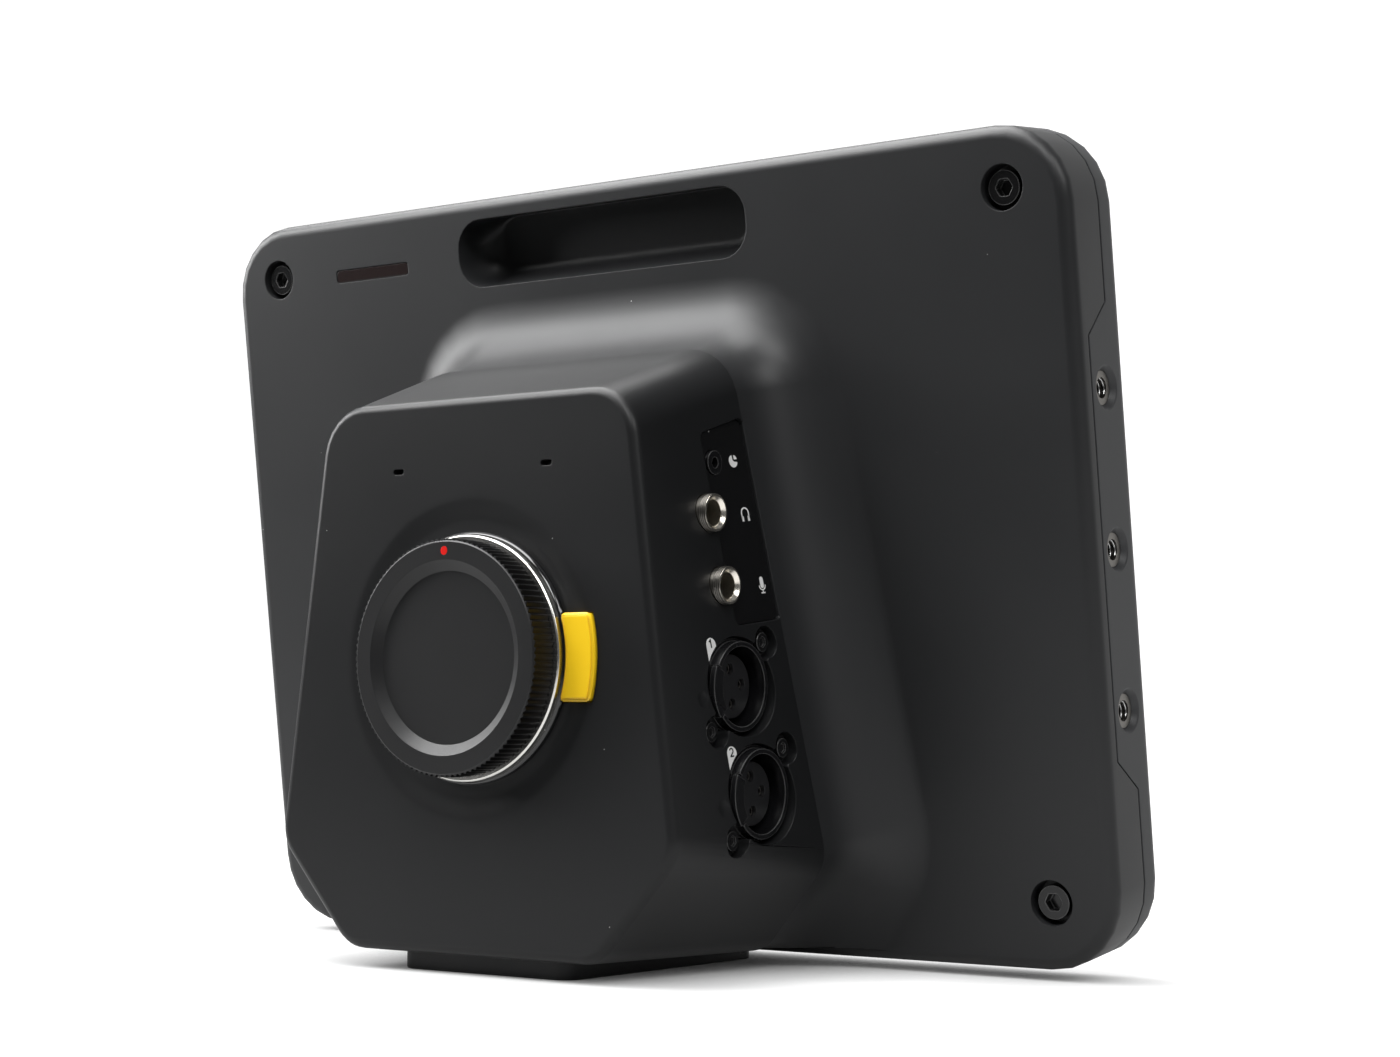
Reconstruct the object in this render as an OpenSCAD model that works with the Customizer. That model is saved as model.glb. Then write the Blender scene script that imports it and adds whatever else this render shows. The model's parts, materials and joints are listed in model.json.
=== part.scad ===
// Studio camera: a leaning screen panel with a tapered lens pod on its front.
// X runs across the camera, -Y is where the lens looks, Z is up from the surface it stands on.

/* [Screen panel] */
// Width of the screen panel
panel_w = 276.6; // [272:0.2:284]
// Height of the screen panel, measured up its own leaning face
panel_h = 205.8; // [204:0.2:212]
// Thickness of the screen panel
panel_t = 25; // [24.6:0.2:28]
// Radius of the panel's four corners, seen from the front
panel_r = 20; // [16:1:22]
// Forward lean of the panel, in degrees
panel_lean = 7.8; // [5:0.2:9]
// Height of the panel's lower front edge over the surface
panel_clear = 2.2; // [2:0.1:3.5]
// Radius rolled along the panel's front edges
front_edge_r = 3.5; // [2:0.5:4.5]
// Radius rolled along the panel's rear edges
rear_edge_r = 4.5; // [3:0.5:6]
// Wall of the front shell and the rear cover
panel_wall = 3; // [2.4:0.2:3.2]
// Depth of the seam between the two shells, above and below the side bands
seam_d = 15.5; // [14.5:0.5:16]
// Depth of the seam along the two side bands
band_d = 5.7; // [5:0.1:6.5]
// Lower end of the side bands
band_low = 51; // [48:1:54]
// Upper end of the side bands
band_high = 153.5; // [150:0.5:156]
// Width of the open seam line
seam_gap = 0.4; // [0.3:0.1:0.6]

/* [Grip and tally] */
// Width of the finger grip's mouth
grip_w = 97; // [88:1:102]
// Height of the finger grip's mouth
grip_h = 18.6; // [16:0.2:20]
// Depth of the finger grip
grip_depth = 12.4; // [10:0.2:12.6]
// Sideways place of the grip's centre
grip_x = -2.5; // [-6:0.5:6]
// Distance from the panel's top edge down to the grip's mouth
grip_drop = 5.8; // [5.6:0.1:7]
// Width of the front tally window
tally_w = 27.4; // [20:0.2:32]
// Height of the front tally window
tally_h = 3.6; // [2.6:0.2:5]

/* [Lens pod] */
// Distance from the panel's lower front edge forward to the pod's front face
pod_depth = 78.9; // [74:0.1:84]
// Height of the lens axis over the panel's lower front edge
lens_rise = 75.8; // [74:0.1:78]
// Width of the pod's front face along its top edge
pod_top_w = 99.2; // [96:0.2:102]
// Width of the pod's front face at its widest
pod_wide_w = 128.3; // [126:0.1:131]
// Width of the pod's front face along its bottom edge
pod_bottom_w = 80.8; // [78:0.2:84]
// Height of the front face's top edge over the lens axis
pod_top_rise = 65.5; // [63:0.5:68]
// Drop from the lens axis to the widest place of the front face
pod_wide_drop = 46.6; // [44:0.2:49]
// Drop from the lens axis to the pod's bottom
pod_bottom_drop = 73.2; // [72:0.1:74]
// Outward flare of the pod's sides towards the panel, in degrees
pod_flare = 6; // [4:0.5:7]
// Height up the panel at which the pod's top meets its seam
pod_seam_top = 158.3; // [156:0.1:159]
// Radius of the smooth cove that carries the panel's front out to the pod
cove_r = 20; // [18:0.5:21]
// Radius of the pod's two upper corners
pod_top_r = 14; // [11:0.5:16]
// Radius of the pod's other corners
pod_low_r = 11; // [8:0.5:13]
// Radius rolled round the pod's front face
pod_edge_r = 2.6; // [1.6:0.2:3.4]
// Wall of the pod
pod_wall = 3; // [2.6:0.2:3.4]
// Radius of the shallow dish round the lens mount
dish_r = 41; // [38:0.5:43]

/* [Lens mount] */
// Radius of the lens throat
throat_r = 19; // [18.6:0.1:19.4]
// Radius of the bayonet pocket behind the flange
pocket_r = 22; // [21.8:0.1:22.4]
// Outer radius of the silver bayonet flange
flange_r = 30.5; // [30:0.1:31]
// Thickness of the bayonet flange
flange_t = 1.8; // [1.6:0.1:2.2]
// Outer radius of the black ring behind the flange
base_ring_r = 31.4; // [31.3:0.1:31.6]
// Distance from the flange's face back to the image sensor
focal_flange = 19.25; // [18.5:0.25:20]
// Travel of the lens release button
release_travel = 1.4; // [1.2:0.1:1.8]
// Radius of the lock pin
lock_pin_r = 1.3; // [1:0.1:1.5]

/* [Body cap] */
// Radius of the cap over its ribs
cap_r = 29.2; // [28:0.1:29.6]
// Height of the cap's front over the pod's face
cap_proud = 9.7; // [9:0.1:10.5]
// Number of grip ribs round the cap
cap_ribs = 110; // [60:2:120]
// Depth of the grooves between the ribs
cap_rib_depth = 0.5; // [0.3:0.1:0.7]
// Radius of the recess in the cap's front
cap_recess_r = 24; // [22:0.5:25]
// Depth of the recess in the cap's front
cap_recess_depth = 1.8; // [1:0.2:2.2]

/* [Sound connectors] */
// Depth of the row of connectors, behind the panel's front plane
row_d = -39.5; // [-41:0.5:-38]
// Height of the upper microphone socket up the panel
xlr_high = 75.1; // [74:0.1:77]
// Spacing of the two microphone sockets
xlr_pitch = 26.2; // [26:0.1:27]
// Outer radius of a microphone socket's ring
xlr_r = 11; // [10.8:0.1:11.2]
// Radius of the insulator inside a microphone socket
xlr_insert_r = 7.8; // [7.4:0.1:8]
// Fore-and-aft spacing of a socket's two screws
xlr_screw_d = 24; // [23.6:0.2:24.4]
// Up-and-down spacing of a socket's two screws
xlr_screw_h = 19; // [18.6:0.2:19.4]
// Height of the headphone jack up the panel
headphone_h = 117.6; // [116:0.2:119]
// Height of the talkback jack up the panel
talkback_h = 99.8; // [98:0.2:101]
// Radius of the two jacks' bushings
bushing_r = 4.6; // [4.2:0.1:5]
// Radius of the bore that takes a plug
jack_bore_r = 3.2; // [3.1:0.05:3.4]
// Travel of a microphone socket's latch
latch_travel = 1; // [0.6:0.1:1.2]

/* [Picture connectors] */
// Height of the optical port up the panel
optical_h = 132; // [130:1:134]
// Height of the highest coaxial socket up the panel
coax_high = 114; // [113:1:115]
// Spacing of the coaxial sockets
coax_pitch = 17.6; // [16.6:0.2:18]
// Outer radius of a coaxial socket
coax_r = 4.8; // [4.6:0.1:5]
// Height of the power inlet up the panel
power_h = 48.9; // [47:0.1:50]

/* [Screen side] */
// Distance from the panel's side edges in to the screen's glass
glass_side_in = 19.3; // [18.4:0.1:22]
// Distance from the panel's bottom edge up to the screen's glass
glass_foot_in = 22; // [21.5:0.5:24]
// Distance from the panel's top edge down to the screen's glass
glass_head_in = 25.8; // [25.2:0.1:28]
// Width of the dark border between the glass's side edges and the lit picture
picture_side_in = 10.5; // [9.5:0.5:13]
// Height of the dark border between the glass's upper and lower edges and the lit picture
picture_end_in = 11; // [10:0.5:13]
// Width of a rear button
key_w = 9.6; // [8.6:0.2:10.4]
// Height of a rear button
key_h = 6.6; // [5.6:0.2:7.6]
// Spacing of the rear buttons
key_pitch = 26; // [25:0.5:27]
// Travel of a rear button
key_travel = 0.6; // [0.4:0.1:0.7]

/* [Fastenings] */
// Distance from the panel's side edges in to the corner screws
corner_screw_in = 17.5; // [17.3:0.1:19.3]
// Height of the lower corner screws
corner_screw_low = 17.1; // [16:0.1:18]
// Distance from the panel's top edge down to the upper corner screws
corner_screw_drop = 15.3; // [14.8:0.1:16.3]
// Radius of the counterbores for the corner screws
counterbore_r = 5.6; // [5.2:0.1:5.8]
// Bore radius of the quarter-inch accessory threads
quarter_r = 2.55; // [2.5:0.05:2.7]
// Bore radius of the three-eighths-inch thread in the foot
three_eighths_r = 3.97; // [3.9:0.01:4.05]
// Height of the middle side thread
side_thread_h = 101.6; // [100:0.2:103]
// Spacing of the side threads
side_thread_pitch = 39.2; // [38:0.2:40]
// Depth of the side threads behind the panel's front plane
side_thread_d = 13.4; // [13:0.1:13.8]

/* [Foot] */
// Width of the foot
foot_w = 55.2; // [50:0.2:60]
// Length of the foot
foot_l = 79.5; // [74:0.5:84]
// Set-back of the foot behind the pod's front face
foot_back = 6.4; // [5:0.2:9]
// Radius of the foot's corners
foot_r = 5; // [3:0.5:7]

/* [Hidden] */

$fn = 64;

// Overrun of every cut past the face that it opens
over = 1;
// Running clearance of pieces that move, and seating clearance of pieces that don't
clear = 0.3;
thread_gap = clear / 6;
head_gap = clear / 3;
// Segments of a corner in the lofted skins
corner_steps = 6;
// Segments of a rolled edge in the lofted skins
edge_steps = 4;
// Segments of the cove between the panel and the pod
cove_steps = 8;

// Values that follow from the panel
lean_cos = cos(panel_lean);
lean_sin = sin(panel_lean);
rear_reach = (panel_t - rear_edge_r) * lean_cos - rear_edge_r * lean_sin + rear_edge_r;
panel_y = (pod_depth + cap_proud - rear_reach) / 2;
panel_z = panel_clear;
band_run = 8;
rear_wall = 2.6;
front_fit_d = 16;
glass_w = panel_w - 2 * glass_side_in;
glass_h = panel_h - glass_foot_in - glass_head_in;
screen_h = glass_foot_in + glass_h / 2;
picture_w = glass_w - 2 * picture_side_in;
picture_h = glass_h - 2 * picture_end_in;
corner_screw_x = panel_w / 2 - corner_screw_in;
corner_screw_high = panel_h - corner_screw_drop;

// Values that follow from the pod
pod_front_y = panel_y - pod_depth;
lens_z = panel_z + lens_rise;
pod_top_z = lens_z + pod_top_rise;
pod_wide_z = lens_z - pod_wide_drop;
pod_bottom_z = lens_z - pod_bottom_drop;
side_slope = (pod_wide_w - pod_top_w) / 2 / (pod_top_z - pod_wide_z);
chamfer_slope = (pod_wide_w - pod_bottom_w) / 2 / (pod_wide_z - pod_bottom_z);
rear_wide_h = 28.9;
pod_seam_gap = 0.3;
cove_sink = 0.1;
cove_floor_share = 1.5;
// How far the pod's rear rim stands out round the cove
pod_rim = 0.4;

// A point given across the panel, behind its front plane and up it, in the whole camera's frame
function from_panel(x, d, h) = [
    x,
    panel_y + d * lean_cos - h * lean_sin,
    panel_z + h * lean_cos + d * lean_sin
];

// Half width of the pod's side plane at a place fore-and-aft and up
function side_x(y, z) =
    pod_wide_w / 2 - side_slope * (z - pod_wide_z) + tan(pod_flare) * (y - pod_front_y);

// The same half width for a place given in the panel's frame
function side_at(d, h) = let (p = from_panel(0, d, h)) side_x(p[1], p[2]);

// The height up the panel of a level plane, at a given depth
function level_h(z, d) = (z - panel_z - d * lean_sin) / lean_cos;

// Unit vector from a to b
function toward(a, b) = (b - a) / norm(b - a);

// One rounded corner of an outline, as points from one side to the next
function corner_arc(a, b, c, r, steps) =
    let (
        u = toward(b, a),
        v = toward(b, c),
        half = acos(u * v) / 2,
        centre = b + toward([0, 0], u + v) * r / sin(half),
        start = toward(centre, b + u * r / tan(half)),
        end = toward(centre, b + v * r / tan(half)),
        sweep = 180 - 2 * half
    )
    [for (i = [0:steps]) centre + r * (sin(sweep - sweep * i / steps) * start
        + sin(sweep * i / steps) * end) / sin(sweep)];

// An outline with all its corners rounded
function rounded(corners, radii, steps) =
    let (n = len(corners))
    [for (i = [0:n - 1]) each corner_arc(corners[(i + n - 1) % n], corners[i], corners[(i + 1) % n],
        radii[i], steps)];

// The corners of an outline moved inwards by a distance, or outwards when it is negative
function inset(corners, distance) =
    let (n = len(corners))
    [for (i = [0:n - 1]) let (
        u = toward(corners[i], corners[(i + n - 1) % n]),
        v = toward(corners[i], corners[(i + 1) % n])
    ) corners[i] + toward([0, 0], u + v) * distance / sin(acos(u * v) / 2)];

// A closed solid through rings that all have the same number of points
module skin(rings) {
    n = len(rings[0]);
    last = len(rings) - 1;
    points = [for (ring = rings) each ring];
    sides = [for (i = [0:last - 1], j = [0:n - 1]) each [
        [i * n + j, i * n + (j + 1) % n, (i + 1) * n + j],
        [i * n + (j + 1) % n, (i + 1) * n + (j + 1) % n, (i + 1) * n + j]
    ]];
    near_end = [for (j = [n - 1:-1:0]) j];
    far_end = [for (j = [0:n - 1]) last * n + j];
    polyhedron(points, concat(sides, [near_end, far_end]));
}

// Places its children in the panel's frame: across, behind the front plane, up
module in_panel() {
    translate([0, panel_y, panel_z]) rotate([panel_lean, 0, 0]) children();
}

// Places its children on the panel so that their own up points out of the front
module on_front(x, h) {
    in_panel() translate([x, 0, h]) rotate([90, 0, 0]) children();
}

// Places its children on the lens axis so that their own up points out of the lens
module on_lens() {
    translate([0, pod_front_y, lens_z]) rotate([90, 0, 0]) children();
}

// Places its children on the pod's right side, own up pointing out, own X running down the panel
module on_side(h, d = row_d) {
    in_panel() translate([side_at(d, h), d, h]) rotate([0, 90, 0]) children();
}

// A slab that follows the slope of the pod's right side, between two distances from it
module side_slab(from, to) {
    reach = panel_h;
    tilt = atan(side_slope * cos(pod_flare));
    translate([pod_wide_w / 2, pod_front_y, pod_wide_z]) rotate([0, -tilt, -pod_flare])
        translate([from, -reach, -reach]) cube([to - from, 2 * reach, 2 * reach]);
}

// A flat bar with round ends, lying along X
module bar_shape(w, h) {
    square([w - h, h], center = true);
    for (side = [-1, 1]) translate([side * (w - h) / 2, 0]) circle(r = h / 2);
}

// A rectangle with round corners
module plate_shape(w, h, r) {
    square([w - 2 * r, h], center = true);
    square([w, h - 2 * r], center = true);
    for (x = [-1, 1], y = [-1, 1]) translate([x * (w / 2 - r), y * (h / 2 - r)]) circle(r = r);
}

// A ring standing on the floor of its own frame
module tube(outer, inner, h) {
    difference() {
        cylinder(r = outer, h = h);
        translate([0, 0, -over]) cylinder(r = inner, h = h + 2 * over);
    }
}

// The panel's own outline, inset by a distance and laid at a depth
function panel_ring(distance, d) =
    let (
        corners = inset([[-panel_w / 2, 0], [panel_w / 2, 0], [panel_w / 2, panel_h],
            [-panel_w / 2, panel_h]], distance),
        r = panel_r - distance
    )
    [for (p = rounded(corners, [r, r, r, r], corner_steps)) from_panel(p[0], d, p[1])];

module panel_envelope() {
    skin(concat(
        [for (i = [0:edge_steps]) let (a = 90 * i / edge_steps)
            panel_ring(front_edge_r * (1 - sin(a)), front_edge_r * (1 - cos(a)))],
        [for (i = [0:edge_steps]) let (a = 90 * i / edge_steps)
            panel_ring(rear_edge_r * (1 - cos(a)), panel_t - rear_edge_r * (1 - sin(a)))]
    ));
}

module panel_hollow(from, to) {
    skin([panel_ring(panel_wall, from), panel_ring(panel_wall, to)]);
}

// The seam drawn from the side as depth and height, shifted backwards by a distance
function seam_line(shift) = [
    [seam_d + shift, -panel_h],
    [seam_d + shift, band_low - band_run],
    [band_d + shift, band_low],
    [band_d + shift, band_high],
    [seam_d + shift, band_high + band_run],
    [seam_d + shift, 2 * panel_h]
];

// Everything on the front side, or on the rear side, of the seam
module seam_side(shift, end) {
    in_panel() rotate([90, 0, 90]) translate([0, 0, -panel_w])
        linear_extrude(2 * panel_w)
            polygon(concat(seam_line(shift), [[end, 2 * panel_h], [end, -panel_h]]));
}

// The pod's outline where it meets its seam, across and up the panel
function seam_corners() = let (
    bottom = level_h(pod_bottom_z, -cove_r),
    top = from_panel(0, -cove_r, pod_seam_top),
    wide = from_panel(0, -cove_r, rear_wide_h),
    wide_x = side_x(wide[1], wide[2]),
    top_x = side_x(top[1], top[2]),
    bottom_x = wide_x - (wide[2] - pod_bottom_z) * chamfer_slope
) [[-bottom_x, bottom], [bottom_x, bottom], [wide_x, rear_wide_h], [top_x, pod_seam_top],
    [-top_x, pod_seam_top], [-wide_x, rear_wide_h]];

// The corner radii of the pod, grown or shrunk by a distance
function pod_radii(grow) = let (low = pod_low_r + grow, top = pod_top_r + grow)
    [low, low, low, top, top, low];

// The pod's outline parallel to the panel
function seam_ring(distance, d) =
    [for (p = rounded(inset(seam_corners(), distance), pod_radii(-distance), corner_steps))
        from_panel(p[0], d, p[1])];

// The pod's outline parallel to its front face
function front_ring(distance, y) = let (
    corners = [[-pod_bottom_w / 2, pod_bottom_z], [pod_bottom_w / 2, pod_bottom_z],
        [pod_wide_w / 2, pod_wide_z], [pod_top_w / 2, pod_top_z],
        [-pod_top_w / 2, pod_top_z], [-pod_wide_w / 2, pod_wide_z]]
) [for (p = rounded(inset(corners, distance), pod_radii(-distance), corner_steps)) [p[0], y, p[1]]];

module pod_envelope(grow) {
    skin(concat(
        [for (i = [0:edge_steps]) let (a = 90 * i / edge_steps)
            front_ring(pod_edge_r * (1 - sin(a)) - grow, pod_front_y + pod_edge_r * (1 - cos(a)) - grow)],
        [seam_ring(-grow, -cove_r - pod_seam_gap)]
    ));
}

module pod_hollow() {
    skin([front_ring(pod_wall, pod_front_y + pod_wall), seam_ring(pod_wall, -cove_r + over)]);
}

// The smooth swelling of the panel's front, out to the pod's seam
module cove() {
    skin(concat(
        [for (i = [0:cove_steps]) let (a = 90 * i / cove_steps)
            seam_ring(pod_rim - cove_r * (1 - cos(a)), -cove_r * (1 - sin(a)) + cove_sink * i / cove_steps)],
        [seam_ring(pod_rim - cove_r, panel_wall)]
    ));
}

// Keeps only what is above the pod's bottom, raised by a distance
module above_bottom(lift) {
    translate([-panel_w, -panel_w, pod_bottom_z + lift]) cube([2 * panel_w, 2 * panel_w, 2 * panel_h]);
}

// The finger grip: a mouth in the front, drawn in towards its floor
grip_r = 8;
grip_end_draw = 7.5;
grip_low_draw = 6.1;
grip_corner_draw = 3;
grip_steps = 6;
grip_undercut = 1;
grip_wall = 2.4;
grip_top = panel_h - grip_drop;

function grip_ring(a, d) = let (
    draw = 1 - cos(a),
    low = grip_top - grip_h + grip_low_draw * draw,
    high = grip_top + grip_undercut * sin(a),
    half = grip_w / 2 - grip_end_draw * draw,
    corners = [[grip_x - half, low], [grip_x + half, low], [grip_x + half, high], [grip_x - half, high]],
    r = grip_r - grip_corner_draw * draw
) [for (p = rounded(corners, [r, r, r, r], corner_steps)) from_panel(p[0], d, p[1])];

module grip_pocket() {
    skin(concat(
        [grip_ring(0, -over)],
        [for (i = [1:grip_steps]) let (a = 90 * i / grip_steps)
            grip_ring(a, grip_depth * sin(a))]
    ));
}

module grip_block() {
    in_panel() translate([grip_x - grip_w / 2 - grip_wall, 0, grip_top - grip_h - grip_wall])
        cube([grip_w + 2 * grip_wall, grip_depth + grip_wall, panel_h - grip_top + grip_h]);
}

// Places the four corner screws
module at_corner_screws() {
    for (x = [-corner_screw_x, corner_screw_x], h = [corner_screw_low, corner_screw_high])
        on_front(x, h) children();
}

// Places the four screws between the pod and the front shell, own up pointing forward
pod_screw_top = [43.4, 150.4];
pod_screw_low = [44, 12.6];
module at_pod_screws() {
    for (side = [-1, 1], place = [pod_screw_top, pod_screw_low])
        in_panel() translate([side * place[0], -cove_r, place[1]]) rotate([90, 0, 0]) children();
}

shell_boss_r = 8;
cover_boss_r = 7;
corner_hole_r = 2.8;
corner_head_r = 4.3;
corner_head_h = 4;
corner_head_sink = 1.2;
corner_shank_r = 2.45;
corner_thread_r = 2.5;
hex_r = 2.3;
hex_depth = 2.4;
pod_lug_r = 4.5;
pod_lug_l = 10;
shell_lug_l = 6;
pod_screw_r = 1.45;
pod_thread_r = 1.5;
pod_hole_r = 1.7;
pod_head_r = 2.8;
pod_head_h = 2.2;
tally_side_in = 54.4;
tally_drop = 16.6;
tally_x = tally_side_in - panel_w / 2;
tally_up = panel_h - tally_drop;
tally_r = 1;
tally_post_r = 2.2;
tally_post_x = 17;
tally_board_d = 6;
tally_board_t = 1.2;
tally_board_w = 42;
tally_board_h = 9;

module front_shell() {
    color([0.16, 0.165, 0.17]) difference() {
        union() {
            intersection() {
                panel_envelope();
                seam_side(0, -panel_t);
            }
            intersection() {
                cove();
                above_bottom(clear);
            }
        }
        difference() {
            panel_hollow(panel_wall, panel_t);
            grip_block();
            at_corner_screws() translate([0, 0, -front_fit_d]) cylinder(r = shell_boss_r, h = front_fit_d);
            for (side = [-1, 1]) on_front(tally_x + side * tally_post_x, tally_up)
                translate([0, 0, -tally_board_d]) cylinder(r = tally_post_r, h = tally_board_d);
        }
        difference() {
            intersection() {
                skin([seam_ring(pod_wall, -cove_r - over), seam_ring(pod_wall, -cove_r + shell_lug_l),
                    seam_ring(-cove_r / 4, panel_wall + over)]);
                above_bottom(cove_floor_share * pod_wall);
            }
            at_pod_screws() translate([0, 0, -shell_lug_l]) cylinder(r = pod_lug_r, h = shell_lug_l + over);
        }
        grip_pocket();
        at_corner_screws() {
            translate([0, 0, -corner_head_sink - corner_head_h])
                cylinder(r = counterbore_r, h = corner_head_sink + corner_head_h + over);
            translate([0, 0, -front_fit_d - over]) cylinder(r = corner_hole_r, h = front_fit_d);
        }
        at_pod_screws() translate([0, 0, -shell_lug_l - over])
            cylinder(r = pod_hole_r, h = shell_lug_l + 2 * over);
        on_front(tally_x, tally_up) translate([0, 0, -panel_wall - over])
            linear_extrude(panel_wall + 2 * over)
                plate_shape(tally_w, tally_h, tally_r);
    }
}

// Rear side: the glass, the keys and what is behind them
glass_t = 1.4;
glass_sink = 0.2;
glass_r = 6;
glass_ledge = 7;
key_in = 9.9;
key_x = panel_w / 2 - key_in;
key_flange = 1.2;
key_flange_t = 0.8;
key_proud = 1.2;
key_count = 5;
key_post_r = 2;
key_board_w = 8.4;
key_board_t = 1;
key_gap = 0.2;
wall_d = panel_t - rear_wall;
key_floor_d = wall_d - clear - key_flange_t;
key_board_d = key_floor_d - key_travel - key_gap - key_board_t;
key_board_over = 15;
key_board_h = key_pitch * (key_count - 1) + 2 * key_board_over;
rear_tally_w = 30;
rear_tally_h = 4;
rear_tally_drop = 14.8;
rear_tally_up = panel_h - rear_tally_drop;
chassis_t = 1.5;
chassis_rear_d = front_fit_d + chassis_t;
insert_r = 4.2;
insert_l = 9;
insert_dish_r = 5.4;
insert_dish_depth = 1.4;
insert_block = 5.4;

// Height of one key up the panel, counted from the top
function key_up(i) = screen_h + key_pitch * ((key_count - 1) / 2 - i);

// Places its children at a key, own up pointing out of the rear
module at_key(side, i) {
    in_panel() translate([side * key_x, panel_t, key_up(i)]) rotate([-90, 0, 0]) children();
}

// Places its children at the six side threads, own up pointing out of the side
module at_side_threads() {
    for (side = [-1, 1], i = [-1:1]) mirror([side < 0 ? 1 : 0, 0, 0])
        in_panel() translate([panel_w / 2, side_thread_d, side_thread_h + i * side_thread_pitch])
            rotate([0, 90, 0]) children();
}

module at_rear(up) {
    in_panel() translate([0, panel_t, up]) rotate([-90, 0, 0]) children();
}

module at_key_posts() {
    for (side = [-1, 1], end = [-1, 1])
        in_panel() translate([side * key_x, wall_d, screen_h + end * (key_board_h / 2 - key_post_r - over)])
            rotate([90, 0, 0]) children();
}

module rear_cover() {
    color([0.19, 0.195, 0.2]) difference() {
        intersection() {
            panel_envelope();
            seam_side(seam_gap, 2 * panel_t);
        }
        difference() {
            panel_hollow(-over, wall_d);
            for (x = [-corner_screw_x, corner_screw_x], h = [corner_screw_low, corner_screw_high])
                in_panel() translate([x, wall_d + over, h]) rotate([90, 0, 0])
                    cylinder(r = cover_boss_r, h = wall_d + over - chassis_rear_d);
            at_side_threads()
                translate([-insert_block, -insert_block, -insert_l - insert_dish_depth - clear])
                cube([2 * insert_block, 2 * insert_block, insert_l + insert_dish_depth]);
            at_key_posts() translate([0, 0, -over])
                cylinder(r = key_post_r, h = wall_d - key_board_d - key_board_t + over);
        }
        for (x = [-corner_screw_x, corner_screw_x], h = [corner_screw_low, corner_screw_high])
            in_panel() translate([x, wall_d, h]) rotate([90, 0, 0])
                cylinder(r = corner_thread_r, h = wall_d);
        at_rear(screen_h) {
            translate([0, 0, -glass_t - glass_sink]) linear_extrude(glass_t + glass_sink + over)
                plate_shape(glass_w + clear, glass_h + clear, glass_r);
            translate([0, 0, -rear_wall - over]) linear_extrude(rear_wall + 2 * over)
                plate_shape(glass_w - 2 * glass_ledge, glass_h - 2 * glass_ledge, glass_r / 2);
        }
        at_rear(rear_tally_up) translate([0, 0, -rear_wall - over]) linear_extrude(rear_wall + 2 * over)
            bar_shape(rear_tally_w, rear_tally_h);
        for (side = [-1, 1], i = [0:key_count - 1]) at_key(side, i)
            translate([0, 0, -rear_wall - over]) linear_extrude(rear_wall + 2 * over)
                bar_shape(key_w + 2 * clear, key_h + 2 * clear);
        at_side_threads() {
            translate([0, 0, -insert_l - insert_dish_depth - over])
                cylinder(r = insert_r, h = insert_l + 2 * over);
            translate([0, 0, -insert_dish_depth])
                cylinder(r1 = insert_r, r2 = insert_dish_r, h = insert_dish_depth);
            cylinder(r = insert_dish_r, h = over);
        }
    }
}

chassis_margin = 12.4;
chassis_r = 8;
board_d = 8;
board_t = 1.6;
board_w = 150;
board_h = 96;
board_up = 96;
standoff_r = 3;
chassis_rim = 3;

module inner_chassis() {
    color([0.66, 0.67, 0.69]) difference() {
        union() {
            in_panel() translate([0, chassis_rear_d, panel_h / 2]) rotate([90, 0, 0])
                linear_extrude(chassis_t)
                    plate_shape(panel_w - 2 * chassis_margin,
                        panel_h - 2 * chassis_margin + 2 * chassis_rim,
                        chassis_r);
            for (x = [-1, 1], y = [-1, 1])
                in_panel() translate([x * (board_w / 2 - 2 * standoff_r), front_fit_d,
                    board_up + y * (board_h / 2 - 2 * standoff_r)]) rotate([90, 0, 0])
                    cylinder(r = standoff_r, h = front_fit_d - board_d - board_t);
        }
        at_corner_screws() translate([0, 0, -chassis_rear_d - over])
            cylinder(r = corner_hole_r, h = chassis_t + 2 * over);
    }
}

module screen_glass() {
    color([0.02, 0.02, 0.025]) at_rear(screen_h)
        translate([0, 0, -glass_t - glass_sink]) linear_extrude(glass_t)
            plate_shape(glass_w - clear, glass_h - clear, glass_r - clear);
}

lcd_rim = 6;
lcd_r = 2;

module lcd_module() {
    color([0.1, 0.11, 0.13]) at_rear(screen_h)
        translate([0, 0, chassis_rear_d - panel_t])
            linear_extrude(wall_d - clear - chassis_rear_d)
                plate_shape(picture_w + 2 * lcd_rim, picture_h + 2 * lcd_rim, lcd_r);
}

chip_size = 18;
chip_t = 2;

module main_board() {
    color([0.06, 0.3, 0.16]) in_panel() {
        translate([-board_w / 2, board_d, board_up - board_h / 2]) cube([board_w, board_t, board_h]);
        for (i = [-1, 1])
            translate([i * board_w / 4 - chip_size / 2, board_d - chip_t, board_up - chip_size / 2])
            cube([chip_size, chip_t, chip_size]);
    }
}

fin_count = 9;
fin_t = 1.2;
fin_l = 7;
sink_w = 40;
sink_h = 44;
sink_t = 2.4;

module heat_sink() {
    first_d = board_d - chip_t - sink_t;
    color([0.55, 0.56, 0.58]) in_panel() {
        translate([-board_w / 4 - sink_w / 2, first_d, board_up - sink_h / 2])
            cube([sink_w, sink_t, sink_h]);
        for (i = [0:fin_count - 1])
            translate([-board_w / 4 - sink_w / 2 + i * (sink_w - fin_t) / (fin_count - 1), first_d - fin_l,
                board_up - sink_h / 2]) cube([fin_t, fin_l, sink_h]);
    }
}

battery_w = 34;
battery_h = 76;
battery_t = 11;
battery_side_in = 40.3;
battery_x = battery_side_in - panel_w / 2;
battery_r = 3;

module battery_pack() {
    color([0.2, 0.32, 0.5]) in_panel() translate([battery_x, front_fit_d, board_up]) rotate([90, 0, 0])
        linear_extrude(battery_t) plate_shape(battery_w, battery_h, battery_r);
}

tally_flange = 1.2;

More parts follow.
